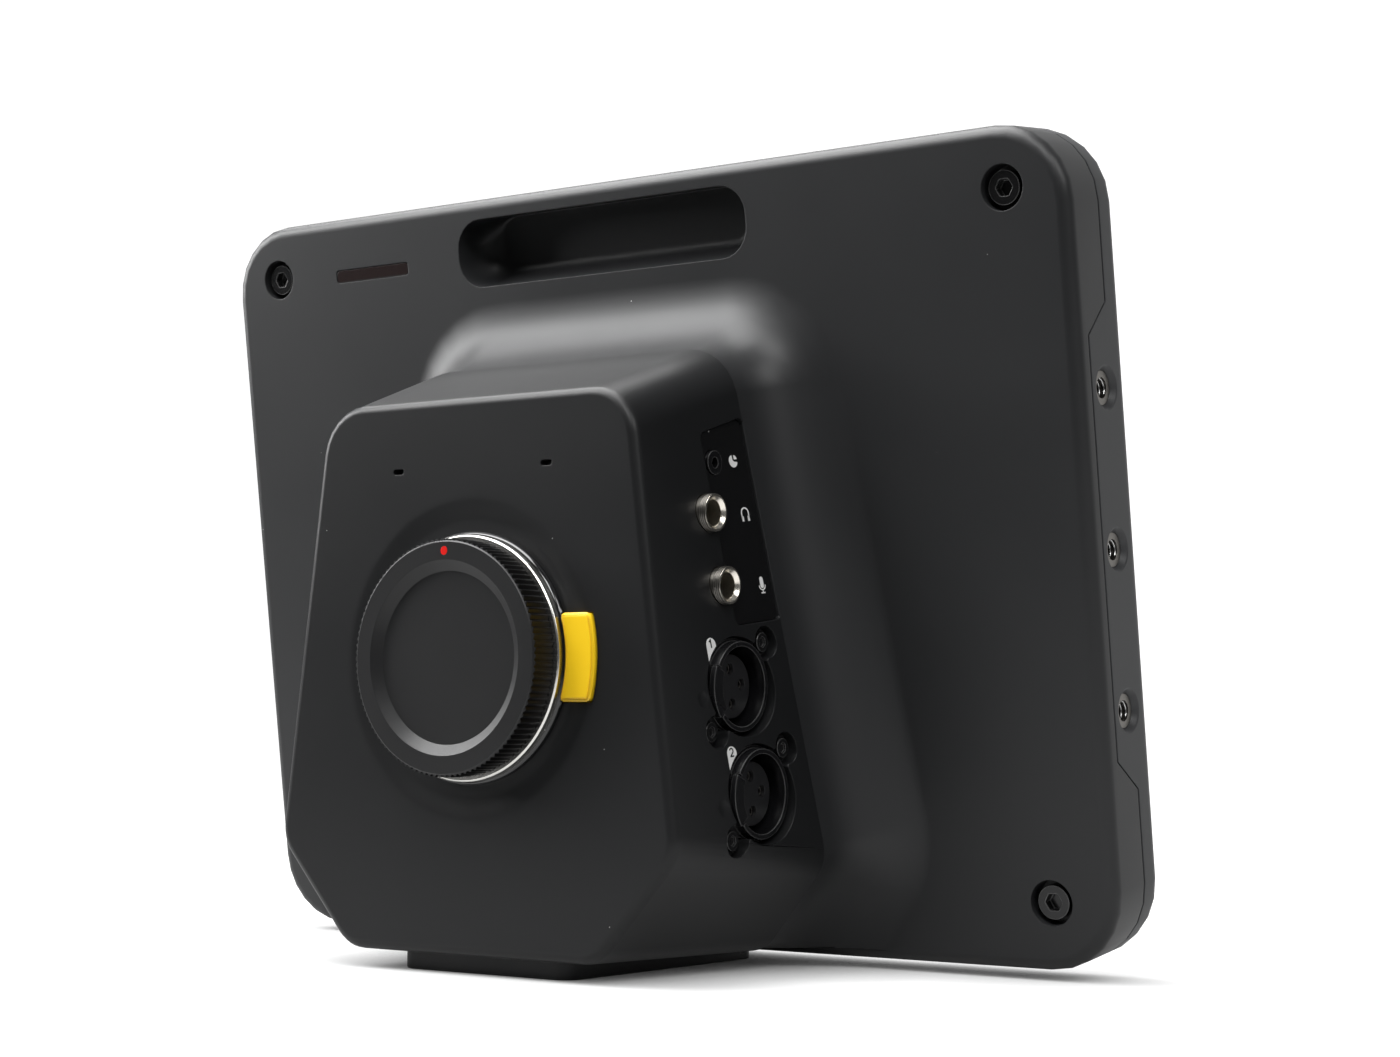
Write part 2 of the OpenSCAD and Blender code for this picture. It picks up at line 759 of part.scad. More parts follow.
module front_tally_lens() {
    color([0.28, 0.16, 0.15]) on_front(tally_x, tally_up) {
        translate([0, 0, -panel_wall - tally_flange]) linear_extrude(panel_wall + tally_flange - clear / 2)
            plate_shape(tally_w - clear, tally_h - clear, tally_r);
        translate([0, 0, -panel_wall - tally_flange]) linear_extrude(tally_flange)
            plate_shape(tally_w + tally_flange, tally_h + 2 * tally_flange, tally_r);
    }
}

led_w = 2.4;
led_count = 4;

module front_tally_board() {
    led_t = tally_board_d - panel_wall - tally_flange - clear;
    color([0.06, 0.3, 0.16]) on_front(tally_x, tally_up) {
        translate([-tally_board_w / 2, -tally_board_h / 2, -tally_board_d - tally_board_t])
            cube([tally_board_w, tally_board_h, tally_board_t]);
        for (i = [0:led_count - 1])
            translate([(i - (led_count - 1) / 2) * tally_w / led_count - led_w / 2, -led_w / 2,
                -tally_board_d])
                cube([led_w, led_w, led_t]);
    }
}

module rear_tally_lens() {
    color([0.3, 0.15, 0.14]) at_rear(rear_tally_up) {
        translate([0, 0, -rear_wall - tally_flange]) linear_extrude(rear_wall + tally_flange - clear / 2)
            bar_shape(rear_tally_w - clear, rear_tally_h - clear);
        translate([0, 0, -rear_wall - tally_flange]) linear_extrude(tally_flange)
            bar_shape(rear_tally_w + 2 * tally_flange, rear_tally_h + 2 * tally_flange);
    }
}

module corner_screws() {
    color([0.08, 0.08, 0.085]) at_corner_screws() difference() {
        union() {
            translate([0, 0, -corner_head_sink - corner_head_h])
                cylinder(r = corner_head_r, h = corner_head_h);
            translate([0, 0, -wall_d + over])
                cylinder(r = corner_shank_r, h = wall_d - over - corner_head_sink - over);
        }
        translate([0, 0, -corner_head_sink - hex_depth]) cylinder(r = hex_r, h = hex_depth + over, $fn = 6);
    }
}

module side_inserts() {
    color([0.62, 0.6, 0.56]) at_side_threads() translate([0, 0, -insert_l - insert_dish_depth])
        tube(insert_r, quarter_r, insert_l);
}

module key_boards() {
    color([0.06, 0.3, 0.16]) for (side = [-1, 1])
        in_panel() translate([side * key_x - key_board_w / 2, key_board_d, screen_h - key_board_h / 2])
            cube([key_board_w, key_board_t, key_board_h]);
}

// One rear key: a cap that stands out of the cover and a flange that holds it in
module rear_key(side, i) {
    color([0.24, 0.245, 0.25]) at_key(side, i) {
        translate([0, 0, key_floor_d - panel_t]) linear_extrude(panel_t - key_floor_d + key_proud)
            bar_shape(key_w, key_h);
        translate([0, 0, key_floor_d - panel_t]) linear_extrude(key_flange_t)
            bar_shape(key_w + 2 * key_flange, key_h + 2 * key_flange);
    }
}

module power_key() { rear_key(-1, 0); }
module menu_key() { rear_key(-1, 1); }
module display_key() { rear_key(-1, 2); }
module up_key() { rear_key(-1, 3); }
module down_key() { rear_key(-1, 4); }
module talk_key() { rear_key(1, 0); }
module louder_key() { rear_key(1, 1); }
module quieter_key() { rear_key(1, 2); }
module iris_key() { rear_key(1, 3); }
module focus_key() { rear_key(1, 4); }

// The pod: a tapered shell with a round mount opening and connector wells in both sides
dish_depth = 1;
dish_slope = 8;
dish_steps = 8;
collar_r = 29;
xlr_well_r = 12.2;
xlr_well = 4.4;
xlr_ear_r = 3.9;
xlr_floor = 2.4;
xlr_screw_hole_r = 1.5;
scoop_r = 9;
scoop_deep = 1.7;
scoop_from_well = 3.3;
remote_d = -33.4;
remote_h = 129.6;
remote_r = 3;
mic_x = 24.1;
mic_up = 47.4;
mic_w = 3.4;
mic_h = 1.3;
plate_front_d = -37.2;
plate_low = 89.6;
plate_high = 138;
plate_sink = 0.9;
plate_t = 1.2;
plate_corner_r = 2;
plate_front_drop = 1;
plate_rear_rise = 2.3;
button_inner_r = 31.5;
button_outer_r = 40;
button_half_h = 10.5;
button_left = 0.1;
button_proud = button_left + release_travel;
button_rim = 1.2;
power_r = 11;
optical_w = 14.6;
optical_h_in = 9.8;
coax_hole_r = 5.4;
left_plate_low = 70;
left_plate_high = 143;
left_plate_front_d = -50;
left_plate_rear_d = -27;
foot_insert_r = 4.2;
foot_big_r = 6;
foot_insert_l = 10;
foot_screw_x = 19;
foot_screw_r = 1.9;
foot_screw_hole_r = 2.1;
foot_screw_l = 9;
foot_head_r = 3.6;
foot_head_h = 2.2;
foot_quarter_y = 16;
foot_boss_r = 7.4;

// Places the two microphone sockets, counted from the top
module at_xlr(i) {
    on_side(xlr_high - i * xlr_pitch) children();
}

// Places the two screws of a microphone socket
module at_xlr_screws() {
    for (side = [-1, 1]) translate([side * xlr_screw_h / 2, side * -xlr_screw_d / 2, 0]) children();
}

ear_neck_share = 1.5;

// The outline of a microphone socket's well: a round opening with an ear for each screw
module xlr_shape(r, ear_r) {
    circle(r = r);
    at_xlr_screws() circle(r = ear_r);
    ear_turn = atan2(-xlr_screw_d, xlr_screw_h);
    rotate(ear_turn) square([norm([xlr_screw_d, xlr_screw_h]), ear_neck_share * ear_r], center = true);
}

// A plate outline on the pod's right side, drawn as depth and height on the panel's frame
module side_plate(from_d, to_d, low, high, shrink, drop = 0, rise = 0) {
    corners = [[from_d, low], [to_d, low], [to_d, high + rise], [from_d, high - drop]];
    in_panel() rotate([90, 0, 90]) linear_extrude(panel_w)
        polygon(rounded(inset(corners, shrink), [for (c = corners) plate_corner_r], corner_steps));
}

// The sound plate's outline, whose top edge climbs to the rear
module sound_shape(rear_d, shrink) {
    side_plate(plate_front_d, rear_d, plate_low, plate_high, shrink, plate_front_drop, plate_rear_rise);
}

// Places the inserts and screws of the foot, own up pointing down out of the foot's bottom
module at_foot(x, y) {
    translate([x, y, 0]) rotate([180, 0, 0]) children();
}
foot_front_y = pod_front_y + foot_back;
foot_mid_share = 0.36;
foot_mid_y = foot_front_y + foot_l * foot_mid_share;

module at_foot_quarters() {
    for (side = [-1, 1]) at_foot(0, foot_mid_y + side * foot_quarter_y) children();
}

module at_foot_screws() {
    for (x = [-foot_screw_x, foot_screw_x], side = [-1, 1])
        at_foot(x, foot_mid_y + side * foot_quarter_y) children();
}

// The release button's outline on the pod's face, grown by a clearance
module button_shape(grow) {
    intersection() {
        difference() {
            circle(r = button_outer_r + grow);
            circle(r = button_inner_r - grow);
        }
        translate([0, -button_half_h - grow]) square([2 * button_outer_r, 2 * (button_half_h + grow)]);
    }
}

// The bowl round the mount, from its flat floor out to its rim, as radius and height
function dish_line() = [for (i = [0:dish_steps])
    [dish_r - dish_slope * (1 - i / dish_steps), -dish_depth * (1 + cos(180 * i / dish_steps)) / 2]];

// The thicker patch of wall behind a round socket's well
module socket_pad() {
    translate([0, 0, -xlr_well - xlr_floor]) linear_extrude(xlr_well + xlr_floor)
        xlr_shape(xlr_well_r + xlr_floor, xlr_ear_r + xlr_floor);
}

module pod_pads() {
    for (i = [0, 1]) at_xlr(i) socket_pad();
    mirror([1, 0, 0]) on_side(power_h) socket_pad();
    at_pod_screws() translate([0, 0, pod_seam_gap]) cylinder(r = pod_lug_r, h = pod_lug_l);
    at_foot_quarters() translate([0, 0, -foot_insert_l - clear])
        cylinder(r = foot_boss_r, h = foot_insert_l);
    at_foot(0, foot_mid_y) translate([0, 0, -foot_insert_l - clear])
        cylinder(r = foot_boss_r, h = foot_insert_l);
    at_foot_screws() translate([0, 0, -foot_insert_l - clear])
        cylinder(r = 2 * foot_screw_r, h = foot_insert_l);
}

module pod_shell() {
    color([0.075, 0.078, 0.082]) difference() {
        pod_envelope(0);
        difference() {
            pod_hollow();
            pod_pads();
        }
        on_lens() {
            rotate_extrude() polygon(concat([[0, over], [0, -dish_depth]], dish_line(), [[dish_r, over]]));
            translate([0, 0, -2 * pod_wall]) cylinder(r = collar_r + clear, h = 2 * pod_wall + over);
            translate([0, 0, -2 * pod_wall]) linear_extrude(2 * pod_wall + over) button_shape(clear);
            for (side = [-1, 1]) translate([side * mic_x, mic_up, -2 * pod_wall])
                linear_extrude(2 * pod_wall + over) bar_shape(mic_w, mic_h);
        }
        for (i = [0, 1]) at_xlr(i) {
            translate([0, 0, -xlr_well]) linear_extrude(2 * xlr_well) xlr_shape(xlr_well_r, xlr_ear_r);
            translate([0, 0, -2 * (xlr_well + xlr_floor)])
                cylinder(r = xlr_r + clear / 2, h = 2 * (xlr_well + xlr_floor));
            translate([0, 0, -xlr_well - xlr_floor - over]) at_xlr_screws()
                cylinder(r = xlr_screw_hole_r, h = xlr_floor + 2 * over);
            translate([0, -xlr_well_r - scoop_from_well, scoop_r - scoop_deep]) sphere(r = scoop_r);
        }
        intersection() {
            sound_shape(-cove_r, 0);
            side_slab(-plate_sink - plate_t, over);
        }
        for (h = [headphone_h, talkback_h]) on_side(h) translate([0, 0, -2 * pod_wall])
            cylinder(r = bushing_r + clear / 2, h = 3 * pod_wall);
        on_side(remote_h, remote_d) translate([0, 0, -2 * pod_wall])
            cylinder(r = remote_r + clear / 2, h = 3 * pod_wall);
        mirror([1, 0, 0]) {
            intersection() {
                side_plate(left_plate_front_d, left_plate_rear_d, left_plate_low, left_plate_high, 0);
                side_slab(-plate_sink - plate_t, over);
            }
            for (i = [0:2]) on_side(coax_high - i * coax_pitch) translate([0, 0, -2 * pod_wall])
                cylinder(r = coax_hole_r + clear / 2, h = 3 * pod_wall);
            on_side(optical_h) translate([-optical_h_in / 2 - clear, -optical_w / 2 - clear, -2 * pod_wall])
                cube([optical_h_in + 2 * clear, optical_w + 2 * clear, 3 * pod_wall]);
            on_side(power_h) {
                translate([0, 0, -xlr_well]) linear_extrude(2 * xlr_well) xlr_shape(xlr_well_r, xlr_ear_r);
                translate([0, 0, -2 * (xlr_well + xlr_floor)])
                    cylinder(r = power_r + clear / 2, h = 2 * (xlr_well + xlr_floor));
                translate([0, 0, -xlr_well - xlr_floor - over]) at_xlr_screws()
                    cylinder(r = xlr_screw_hole_r, h = xlr_floor + 2 * over);
            }
        }
        at_pod_screws() translate([0, 0, -over]) cylinder(r = pod_thread_r, h = pod_lug_l);
        at_foot_quarters() translate([0, 0, -foot_insert_l - over])
            cylinder(r = foot_insert_r, h = foot_insert_l + over);
        at_foot(0, foot_mid_y) translate([0, 0, -foot_insert_l - over])
            cylinder(r = foot_big_r, h = foot_insert_l + over);
        at_foot_screws() translate([0, 0, -foot_screw_l - over])
            cylinder(r = foot_screw_r, h = foot_screw_l + over);
    }
}

module pod_screws() {
    color([0.55, 0.55, 0.56]) at_pod_screws() {
        translate([0, 0, -shell_lug_l - pod_head_h]) cylinder(r = pod_head_r, h = pod_head_h);
        translate([0, 0, -shell_lug_l - pod_head_h / 2])
            cylinder(r = pod_screw_r, h = shell_lug_l + pod_lug_l - over - pod_head_h / 2);
    }
}

module foot_block() {
    color([0.1, 0.1, 0.105]) difference() {
        translate([0, foot_front_y + foot_l / 2, 0]) linear_extrude(pod_bottom_z - thread_gap)
            plate_shape(foot_w, foot_l, foot_r);
        in_panel() translate([-foot_w, -clear, -clear]) cube([2 * foot_w, panel_t, panel_t]);
        at_foot_quarters() translate([0, 0, -pod_bottom_z - over])
            cylinder(r = foot_insert_r, h = pod_bottom_z + 2 * over);
        at_foot(0, foot_mid_y) translate([0, 0, -pod_bottom_z - over])
            cylinder(r = foot_big_r, h = pod_bottom_z + 2 * over);
        at_foot_screws() {
            translate([0, 0, -pod_bottom_z - over])
                cylinder(r = foot_screw_hole_r, h = pod_bottom_z + 2 * over);
            translate([0, 0, -foot_head_h - clear])
                cylinder(r = foot_head_r + clear, h = foot_head_h + clear + over);
        }
    }
}

module foot_inserts() {
    color([0.62, 0.6, 0.56]) {
        at_foot_quarters() translate([0, 0, -foot_insert_l])
            tube(foot_insert_r, quarter_r, foot_insert_l - clear);
        at_foot(0, foot_mid_y) translate([0, 0, -foot_insert_l])
            tube(foot_big_r, three_eighths_r, foot_insert_l - clear);
    }
}

module foot_screws() {
    color([0.5, 0.5, 0.51]) at_foot_screws() difference() {
        union() {
            translate([0, 0, -foot_head_h - clear]) cylinder(r = foot_head_r, h = foot_head_h);
            translate([0, 0, -foot_screw_l])
                cylinder(r = foot_screw_r - thread_gap, h = foot_screw_l - foot_head_h);
        }
        translate([0, 0, -foot_head_h / 2 - clear]) cylinder(r = foot_head_r / 2, h = foot_head_h, $fn = 6);
    }
}

// The lens mount: heights are measured out from the pod's front face
ring_top = 0.6;
flange_top = ring_top + flange_t;
throat_end = -10;
pocket_floor = -2;
tab_t = 1.3;
tab_r = 19.3;
tab_count = 3;
tab_angle = 58;
lug_angle = 44;
lug_r = 21.6;
lug_low = -1.2;
lug_t = 1.6;
flange_screw_at = 26;
flange_screw_r = 1.1;
flange_head_r = 2;
flange_screw_l = 6;
pin_at = 25.8;
pin_hole_r = lock_pin_r + clear;
pin_top = flange_top + 1.2;
arm_half = 2.4;
arm_t = 1.5;
arm_from = 24.4;
button_flange_t = 1.2;
button_flange_top = -pod_wall - clear;
arm_top = button_flange_top - button_flange_t;
ring_groove_r = 30.8;
ring_groove = 0.4;
flange_chamfer = 0.4;

// A sector of a ring, centred on an angle
module sector(inner, outer, h, angle, turn) {
    rotate([0, 0, turn - angle / 2]) rotate_extrude(angle = angle)
        translate([inner, 0]) square([outer - inner, h]);
}

module mount_ring() {
    color([0.04, 0.04, 0.042]) on_lens() difference() {
        rotate_extrude() polygon([
            [throat_r, throat_end],
            [collar_r - ring_groove, throat_end],
            [collar_r, throat_end + ring_groove],
            [collar_r, -dish_depth],
            [base_ring_r, -dish_depth],
            [base_ring_r, ring_top - 2 * ring_groove],
            [ring_groove_r + ring_groove, ring_top - ring_groove],
            [ring_groove_r, ring_top],
            [pocket_r, ring_top],
            [pocket_r, pocket_floor],
            [throat_r, pocket_floor]
        ]);
        translate([pin_at, 0, throat_end - over])
            cylinder(r = pin_hole_r, h = ring_top - throat_end + 2 * over);
        translate([0, 0, -dish_depth - over]) linear_extrude(dish_depth + ring_top + 2 * over)
            button_shape(clear);
        translate([throat_r - over, -arm_half - clear, throat_end - over])
            cube([base_ring_r, 2 * (arm_half + clear), arm_top + clear - throat_end + over]);
        for (i = [0:3]) rotate([0, 0, 45 + 90 * i])
            translate([flange_screw_at, 0, ring_top - flange_screw_l])
            cylinder(r = flange_screw_r + thread_gap, h = flange_screw_l + over);
    }
}

module bayonet_flange() {
    color([0.78, 0.78, 0.77]) on_lens() difference() {
        union() {
            rotate_extrude() polygon([
                [pocket_r, ring_top],
                [flange_r, ring_top],
                [flange_r, flange_top - flange_chamfer],
                [flange_r - flange_chamfer, flange_top],
                [pocket_r, flange_top]
            ]);
            for (i = [0:tab_count - 1]) translate([0, 0, flange_top - tab_t])
                sector(tab_r, pocket_r + clear, tab_t, tab_angle, 90 + 360 / tab_count * (i + 0.5));
        }
        translate([pin_at, 0, 0]) cylinder(r = pin_hole_r, h = flange_top + over);
        for (i = [0:3]) rotate([0, 0, 45 + 90 * i]) translate([flange_screw_at, 0, 0]) {
            cylinder(r = flange_screw_r + clear / 2, h = flange_top);
            translate([0, 0, flange_top - flange_head_r + flange_screw_r])
                cylinder(r1 = flange_screw_r + head_gap, r2 = flange_head_r + head_gap,
                    h = flange_head_r - flange_screw_r);
            translate([0, 0, flange_top]) cylinder(r = flange_head_r + head_gap, h = over);
        }
    }
}

module flange_screws() {
    head_h = flange_head_r - flange_screw_r;
    color([0.6, 0.6, 0.6]) on_lens() for (i = [0:3]) rotate([0, 0, 45 + 90 * i])
        translate([flange_screw_at, 0, 0]) difference() {
            union() {
                translate([0, 0, flange_top - head_h - thread_gap])
                    cylinder(r1 = flange_screw_r, r2 = flange_head_r, h = head_h);
                translate([0, 0, ring_top - flange_screw_l + clear])
                    cylinder(r = flange_screw_r, h = flange_t + flange_screw_l - head_h - clear);
            }
            translate([0, 0, flange_top - head_h / 2])
                cylinder(r = flange_screw_r / 2, h = head_h, $fn = 6);
        }
}

contact_count = 11;
contact_r = 0.7;
contact_turn = 7.4;
contact_block_t = 3.4;
contact_inner_r = 14.6;
contact_outer_r = 20.6;

module contact_block() {
    base = throat_end - contact_block_t - contact_r;
    color([0.75, 0.6, 0.25]) on_lens() {
        difference() {
            translate([0, 0, base])
                sector(contact_inner_r, contact_outer_r, contact_block_t + contact_r,
                    contact_turn * (contact_count + 1), 90);
            translate([0, 0, throat_end - contact_r]) cylinder(r = throat_r + clear, h = contact_r + over);
        }
        for (i = [0:contact_count - 1]) rotate([0, 0, 90 + contact_turn * (i - (contact_count - 1) / 2)])
            translate([(contact_inner_r + throat_r) / 2, 0, throat_end - 2 * contact_r])
                cylinder(r = contact_r, h = 2 * contact_r);
    }
}

cap_back = flange_top + clear / 2;
cap_skirt_r = 18.5;
cap_skirt_wall = 1.8;
cap_skirt_end = lug_low;
cap_web_t = 2;
cap_groove_in = 23.6;
cap_groove_out = 27.4;
cap_groove = 2.6;
cap_recess_draw = 2.7;
cap_chamfer = 0.3;
dot_r = 1.1;
dot_at = 26.2;
dot_t = 0.6;

// One period of the ribbed rim, as shares of a rib's turn and of its depth
rib_turn_shares = [0, 0.18, 0.42, 0.6];
rib_depth_shares = [0, 0, 1, 1];

function rib_points() = [
    for (i = [0:cap_ribs - 1], k = [0:3])
        let (a = 360 * (i + rib_turn_shares[k]) / cap_ribs, r = cap_r - cap_rib_depth * rib_depth_shares[k])
            [r * cos(a), r * sin(a)]
];

module body_cap() {
    web_top = cap_proud - cap_recess_depth;
    color([0.05, 0.05, 0.053]) on_lens() {
        difference() {
            union() {
                translate([0, 0, cap_back]) linear_extrude(cap_proud - cap_chamfer - cap_back)
                    polygon(rib_points());
                translate([0, 0, cap_proud - cap_chamfer])
                    cylinder(r1 = cap_r - cap_rib_depth, r2 = cap_r - cap_rib_depth - cap_chamfer,
                        h = cap_chamfer);
            }
            translate([0, 0, web_top])
                cylinder(r1 = cap_recess_r - cap_recess_draw, r2 = cap_recess_r, h = cap_recess_depth);
            translate([0, 0, cap_proud]) cylinder(r = cap_recess_r, h = over);
            translate([0, 0, cap_back - over])
                cylinder(r = cap_skirt_r - cap_skirt_wall, h = web_top - cap_web_t - cap_back + over);
            translate([0, 0, cap_back - over]) tube(cap_groove_out, cap_groove_in, cap_groove + over);
            rotate([0, 0, 90]) translate([dot_at, 0, cap_proud - dot_t])
                cylinder(r = dot_r, h = dot_t + over);
        }
        translate([0, 0, cap_skirt_end])
            tube(cap_skirt_r, cap_skirt_r - cap_skirt_wall, cap_back - cap_skirt_end);
        for (i = [0:tab_count - 1]) translate([0, 0, lug_low])
            sector(cap_skirt_r - clear, lug_r, lug_t, lug_angle, 90 + 360 / tab_count * i);
    }
}

module cap_index_dot() {
    color([0.8, 0.08, 0.06]) on_lens() rotate([0, 0, 90])
        translate([dot_at, 0, cap_proud - dot_t]) cylinder(r = dot_r, h = dot_t);
}

button_round = 0.8;

module release_button() {
    color([1, 0.72, 0.05]) on_lens() {
        translate([0, 0, button_flange_top - button_flange_t])
            linear_extrude(button_proud - button_round - button_flange_top + button_flange_t)
                button_shape(0);
        translate([0, 0, button_proud - button_round]) linear_extrude(button_round)
            button_shape(-button_round / 2);
        translate([0, 0, button_flange_top - button_flange_t]) linear_extrude(button_flange_t)
            button_shape(button_rim);
    }
}

module lock_pin() {
    color([0.7, 0.7, 0.7]) on_lens() {
        translate([arm_from, -arm_half, arm_top - arm_t])
            cube([(button_inner_r + button_outer_r) / 2 - arm_from, 2 * arm_half, arm_t]);
        translate([pin_at, 0, arm_top - arm_t]) cylinder(r = lock_pin_r, h = pin_top - arm_top + arm_t);
    }
}

// Behind the throat: the sensor and its frame, heights as on the lens axis
sensor_z = flange_top - focal_flange;
sensor_w = 17.3;
sensor_h = 13;
package_w = 24;
package_h = 20;
package_t = 2.4;
filter_w = 26;
filter_h = 22;
filter_t = 1.6;
frame_w = 60;
frame_h = 50;
frame_t = 2.4;
leg_r = 3;
leg_at = 34;
sensor_board_t = 1.6;

module sensor_frame() {
    frame_z = sensor_z - package_t;
    color([0.6, 0.61, 0.63]) on_lens() {
        difference() {
            translate([0, 0, frame_z]) linear_extrude(frame_t) plate_shape(frame_w, frame_h, leg_r);
            translate([0, 0, frame_z - over]) linear_extrude(frame_t + 2 * over)
                plate_shape(package_w + clear, package_h + clear, clear);
        }
        for (turn = [45, 135, 225, 315]) rotate([0, 0, turn]) {
            translate([leg_at, 0, frame_z + frame_t / 2])
                cylinder(r = leg_r, h = -pod_wall - frame_z - frame_t / 2);
        }
    }
}

module filter_glass() {
    color([0.35, 0.55, 0.55, 0.6]) on_lens() translate([0, 0, sensor_z + clear])
        linear_extrude(filter_t) plate_shape(filter_w, filter_h, clear);
}

module image_sensor() {
    color([0.12, 0.16, 0.2]) on_lens() {
        translate([-package_w / 2, -package_h / 2, sensor_z - package_t])
            cube([package_w, package_h, package_t - clear]);
        translate([-sensor_w / 2, -sensor_h / 2, sensor_z - 2 * clear])
            cube([sensor_w, sensor_h, 2 * clear]);
    }
}

module sensor_board() {
    color([0.06, 0.3, 0.16]) on_lens() translate([0, 0, sensor_z - package_t - sensor_board_t])
        linear_extrude(sensor_board_t) plate_shape(frame_w - leg_r, frame_h - leg_r, leg_r);
}

capsule_r = 3;
capsule_t = 4;

module microphones() {
    color([0.5, 0.5, 0.5]) on_lens() for (side = [-1, 1])
        translate([side * mic_x, mic_up, -pod_wall - capsule_t]) cylinder(r = capsule_r, h = capsule_t);
}

// The connectors on the pod's right side
jack_proud = 2.1;
jack_entry = 0.9;
jack_body = 13;
jack_body_l = 22;
jack_inner = 20;
remote_proud = 0.6;
remote_bore_r = 1.3;
remote_l = 12;
xlr_front = 0.1;
xlr_flange_t = 1.6;
xlr_back = 22;
xlr_cavity_r = 9.7;
xlr_cavity = 17;
latch_half = 35;
tab_play = 2.5;
tongue_play = 13;
latch_gap = 0.4;
insert_front = 3.4;
contact_ring = 4.3;
contact_hole_r = 1.35;
contact_depth = 12;
contact_tube_r = 1.15;
contact_bore_r = 0.8;
xlr_head_r = 2.7;
xlr_head_h = 1.3;
xlr_screw_l = 7;

module sound_plate() {
    color([0.03, 0.03, 0.033]) difference() {
        intersection() {
            sound_shape(-cove_r - pod_seam_gap, clear / 2);
            side_slab(-plate_sink - plate_t, -plate_sink);
        }
        for (h = [headphone_h, talkback_h]) on_side(h) translate([0, 0, -2 * pod_wall])
            cylinder(r = bushing_r + clear, h = 3 * pod_wall);
        on_side(remote_h, remote_d) translate([0, 0, -2 * pod_wall])
            cylinder(r = remote_r + clear / 2, h = 3 * pod_wall);
    }
}

module remote_jack() {
    color([0.05, 0.05, 0.05]) on_side(remote_h, remote_d) difference() {
        union() {
            translate([0, 0, -remote_l]) cylinder(r = remote_r, h = remote_l + remote_proud - plate_sink);
            translate([0, 0, -remote_l]) cylinder(r = remote_r + 1, h = remote_l - 2 * pod_wall);
        }
        translate([0, 0, -remote_l + over]) cylinder(r = remote_bore_r, h = remote_l + over);
    }
}

// A plug jack: a threaded bushing through the wall, and its body behind it
module plug_jack(h) {
    color([0.72, 0.7, 0.66]) on_side(h) difference() {
        union() {
            translate([0, 0, -jack_body_l]) cylinder(r = bushing_r, h = jack_body_l + jack_proud);
            translate([-jack_body / 2, -jack_body / 2, -jack_body_l - over])
                cube([jack_body, jack_body, jack_body_l + over - 2 * pod_wall - over]);
        }
        translate([0, 0, -jack_inner + jack_proud]) cylinder(r = jack_bore_r, h = jack_inner + over);
        translate([0, 0, jack_proud - jack_entry])
            cylinder(r1 = jack_bore_r, r2 = jack_bore_r + jack_entry, h = jack_entry);
    }
}

module headphone_jack() { plug_jack(headphone_h); }
module talkback_jack() { plug_jack(talkback_h); }

// A microphone socket's metal shell: ring, flange with two ears, and closed back
module xlr_shell(i) {
    color([0.035, 0.035, 0.038]) at_xlr(i) difference() {
        union() {
            translate([0, 0, -xlr_back]) cylinder(r = xlr_r, h = xlr_back - xlr_front);
            translate([0, 0, -xlr_well]) linear_extrude(xlr_flange_t)
                xlr_shape(xlr_well_r - clear, xlr_ear_r - clear);
        }
        translate([0, 0, -xlr_cavity]) cylinder(r = xlr_cavity_r, h = xlr_cavity);
        translate([0, 0, -xlr_well + xlr_flange_t])
            sector(xlr_insert_r, 2 * xlr_r, xlr_well, 2 * latch_half, -90);
        at_xlr_screws() translate([0, 0, -xlr_well - over])
            cylinder(r = xlr_screw_hole_r + clear / 2, h = xlr_well);
    }
}

module xlr_1_shell() { xlr_shell(0); }
module xlr_2_shell() { xlr_shell(1); }

// The three contact places of a microphone socket
module at_contacts() {
    for (turn = [0, 90, 180]) rotate([0, 0, turn]) translate([contact_ring, 0, 0]) children();
}

module xlr_insert(i) {
    color([0.07, 0.07, 0.075]) at_xlr(i) difference() {
        translate([0, 0, -xlr_cavity]) cylinder(r = xlr_insert_r, h = xlr_cavity - insert_front);
        at_contacts() translate([0, 0, -insert_front - contact_depth])
            cylinder(r = contact_hole_r, h = contact_depth + over);
    }
}

module xlr_1_insert() { xlr_insert(0); }
module xlr_2_insert() { xlr_insert(1); }

// A socket's latch: a curved tab in the gap of the ring, on a tongue that runs back along the cavity
module xlr_latch(i) {
    tab_floor = -xlr_well + xlr_flange_t + latch_travel + clear;
    color([0.09, 0.085, 0.075]) at_xlr(i) {
        translate([0, 0, tab_floor])
            sector(xlr_insert_r + clear, xlr_well_r - latch_gap, -tab_floor,
                2 * (latch_half - tab_play), -90);
        translate([0, 0, -xlr_cavity + latch_travel + 2 * clear])
            sector(xlr_insert_r + 2 * clear, xlr_cavity_r - clear,
                xlr_cavity - latch_travel - 3 * clear + tab_floor, 2 * (latch_half - tongue_play), -90);
    }
}

module xlr_1_latch() { xlr_latch(0); }
module xlr_2_latch() { xlr_latch(1); }

module xlr_contacts() {
    color([0.85, 0.68, 0.3]) for (i = [0, 1]) at_xlr(i) at_contacts()
        translate([0, 0, -insert_front - contact_depth])
            tube(contact_tube_r, contact_bore_r, contact_depth - over);
}

module xlr_screws() {
    color([0.1, 0.1, 0.1]) {
        for (i = [0, 1]) at_xlr(i) socket_screws();
        mirror([1, 0, 0]) on_side(power_h) socket_screws();
    }
}

// The two screws that hold one round socket
module socket_screws() {
    at_xlr_screws() difference() {
        union() {
            translate([0, 0, -xlr_well + xlr_flange_t])
                cylinder(r1 = xlr_head_r, r2 = xlr_head_r - clear, h = xlr_head_h);
            translate([0, 0, -xlr_well + xlr_flange_t - xlr_screw_l + over])
                cylinder(r = xlr_screw_hole_r - thread_gap, h = xlr_screw_l);
        }
        translate([0, 0, -xlr_well + xlr_flange_t + xlr_head_h / 2])
            cylinder(r = xlr_head_r / 2, h = xlr_head_h, $fn = 6);
    }
}

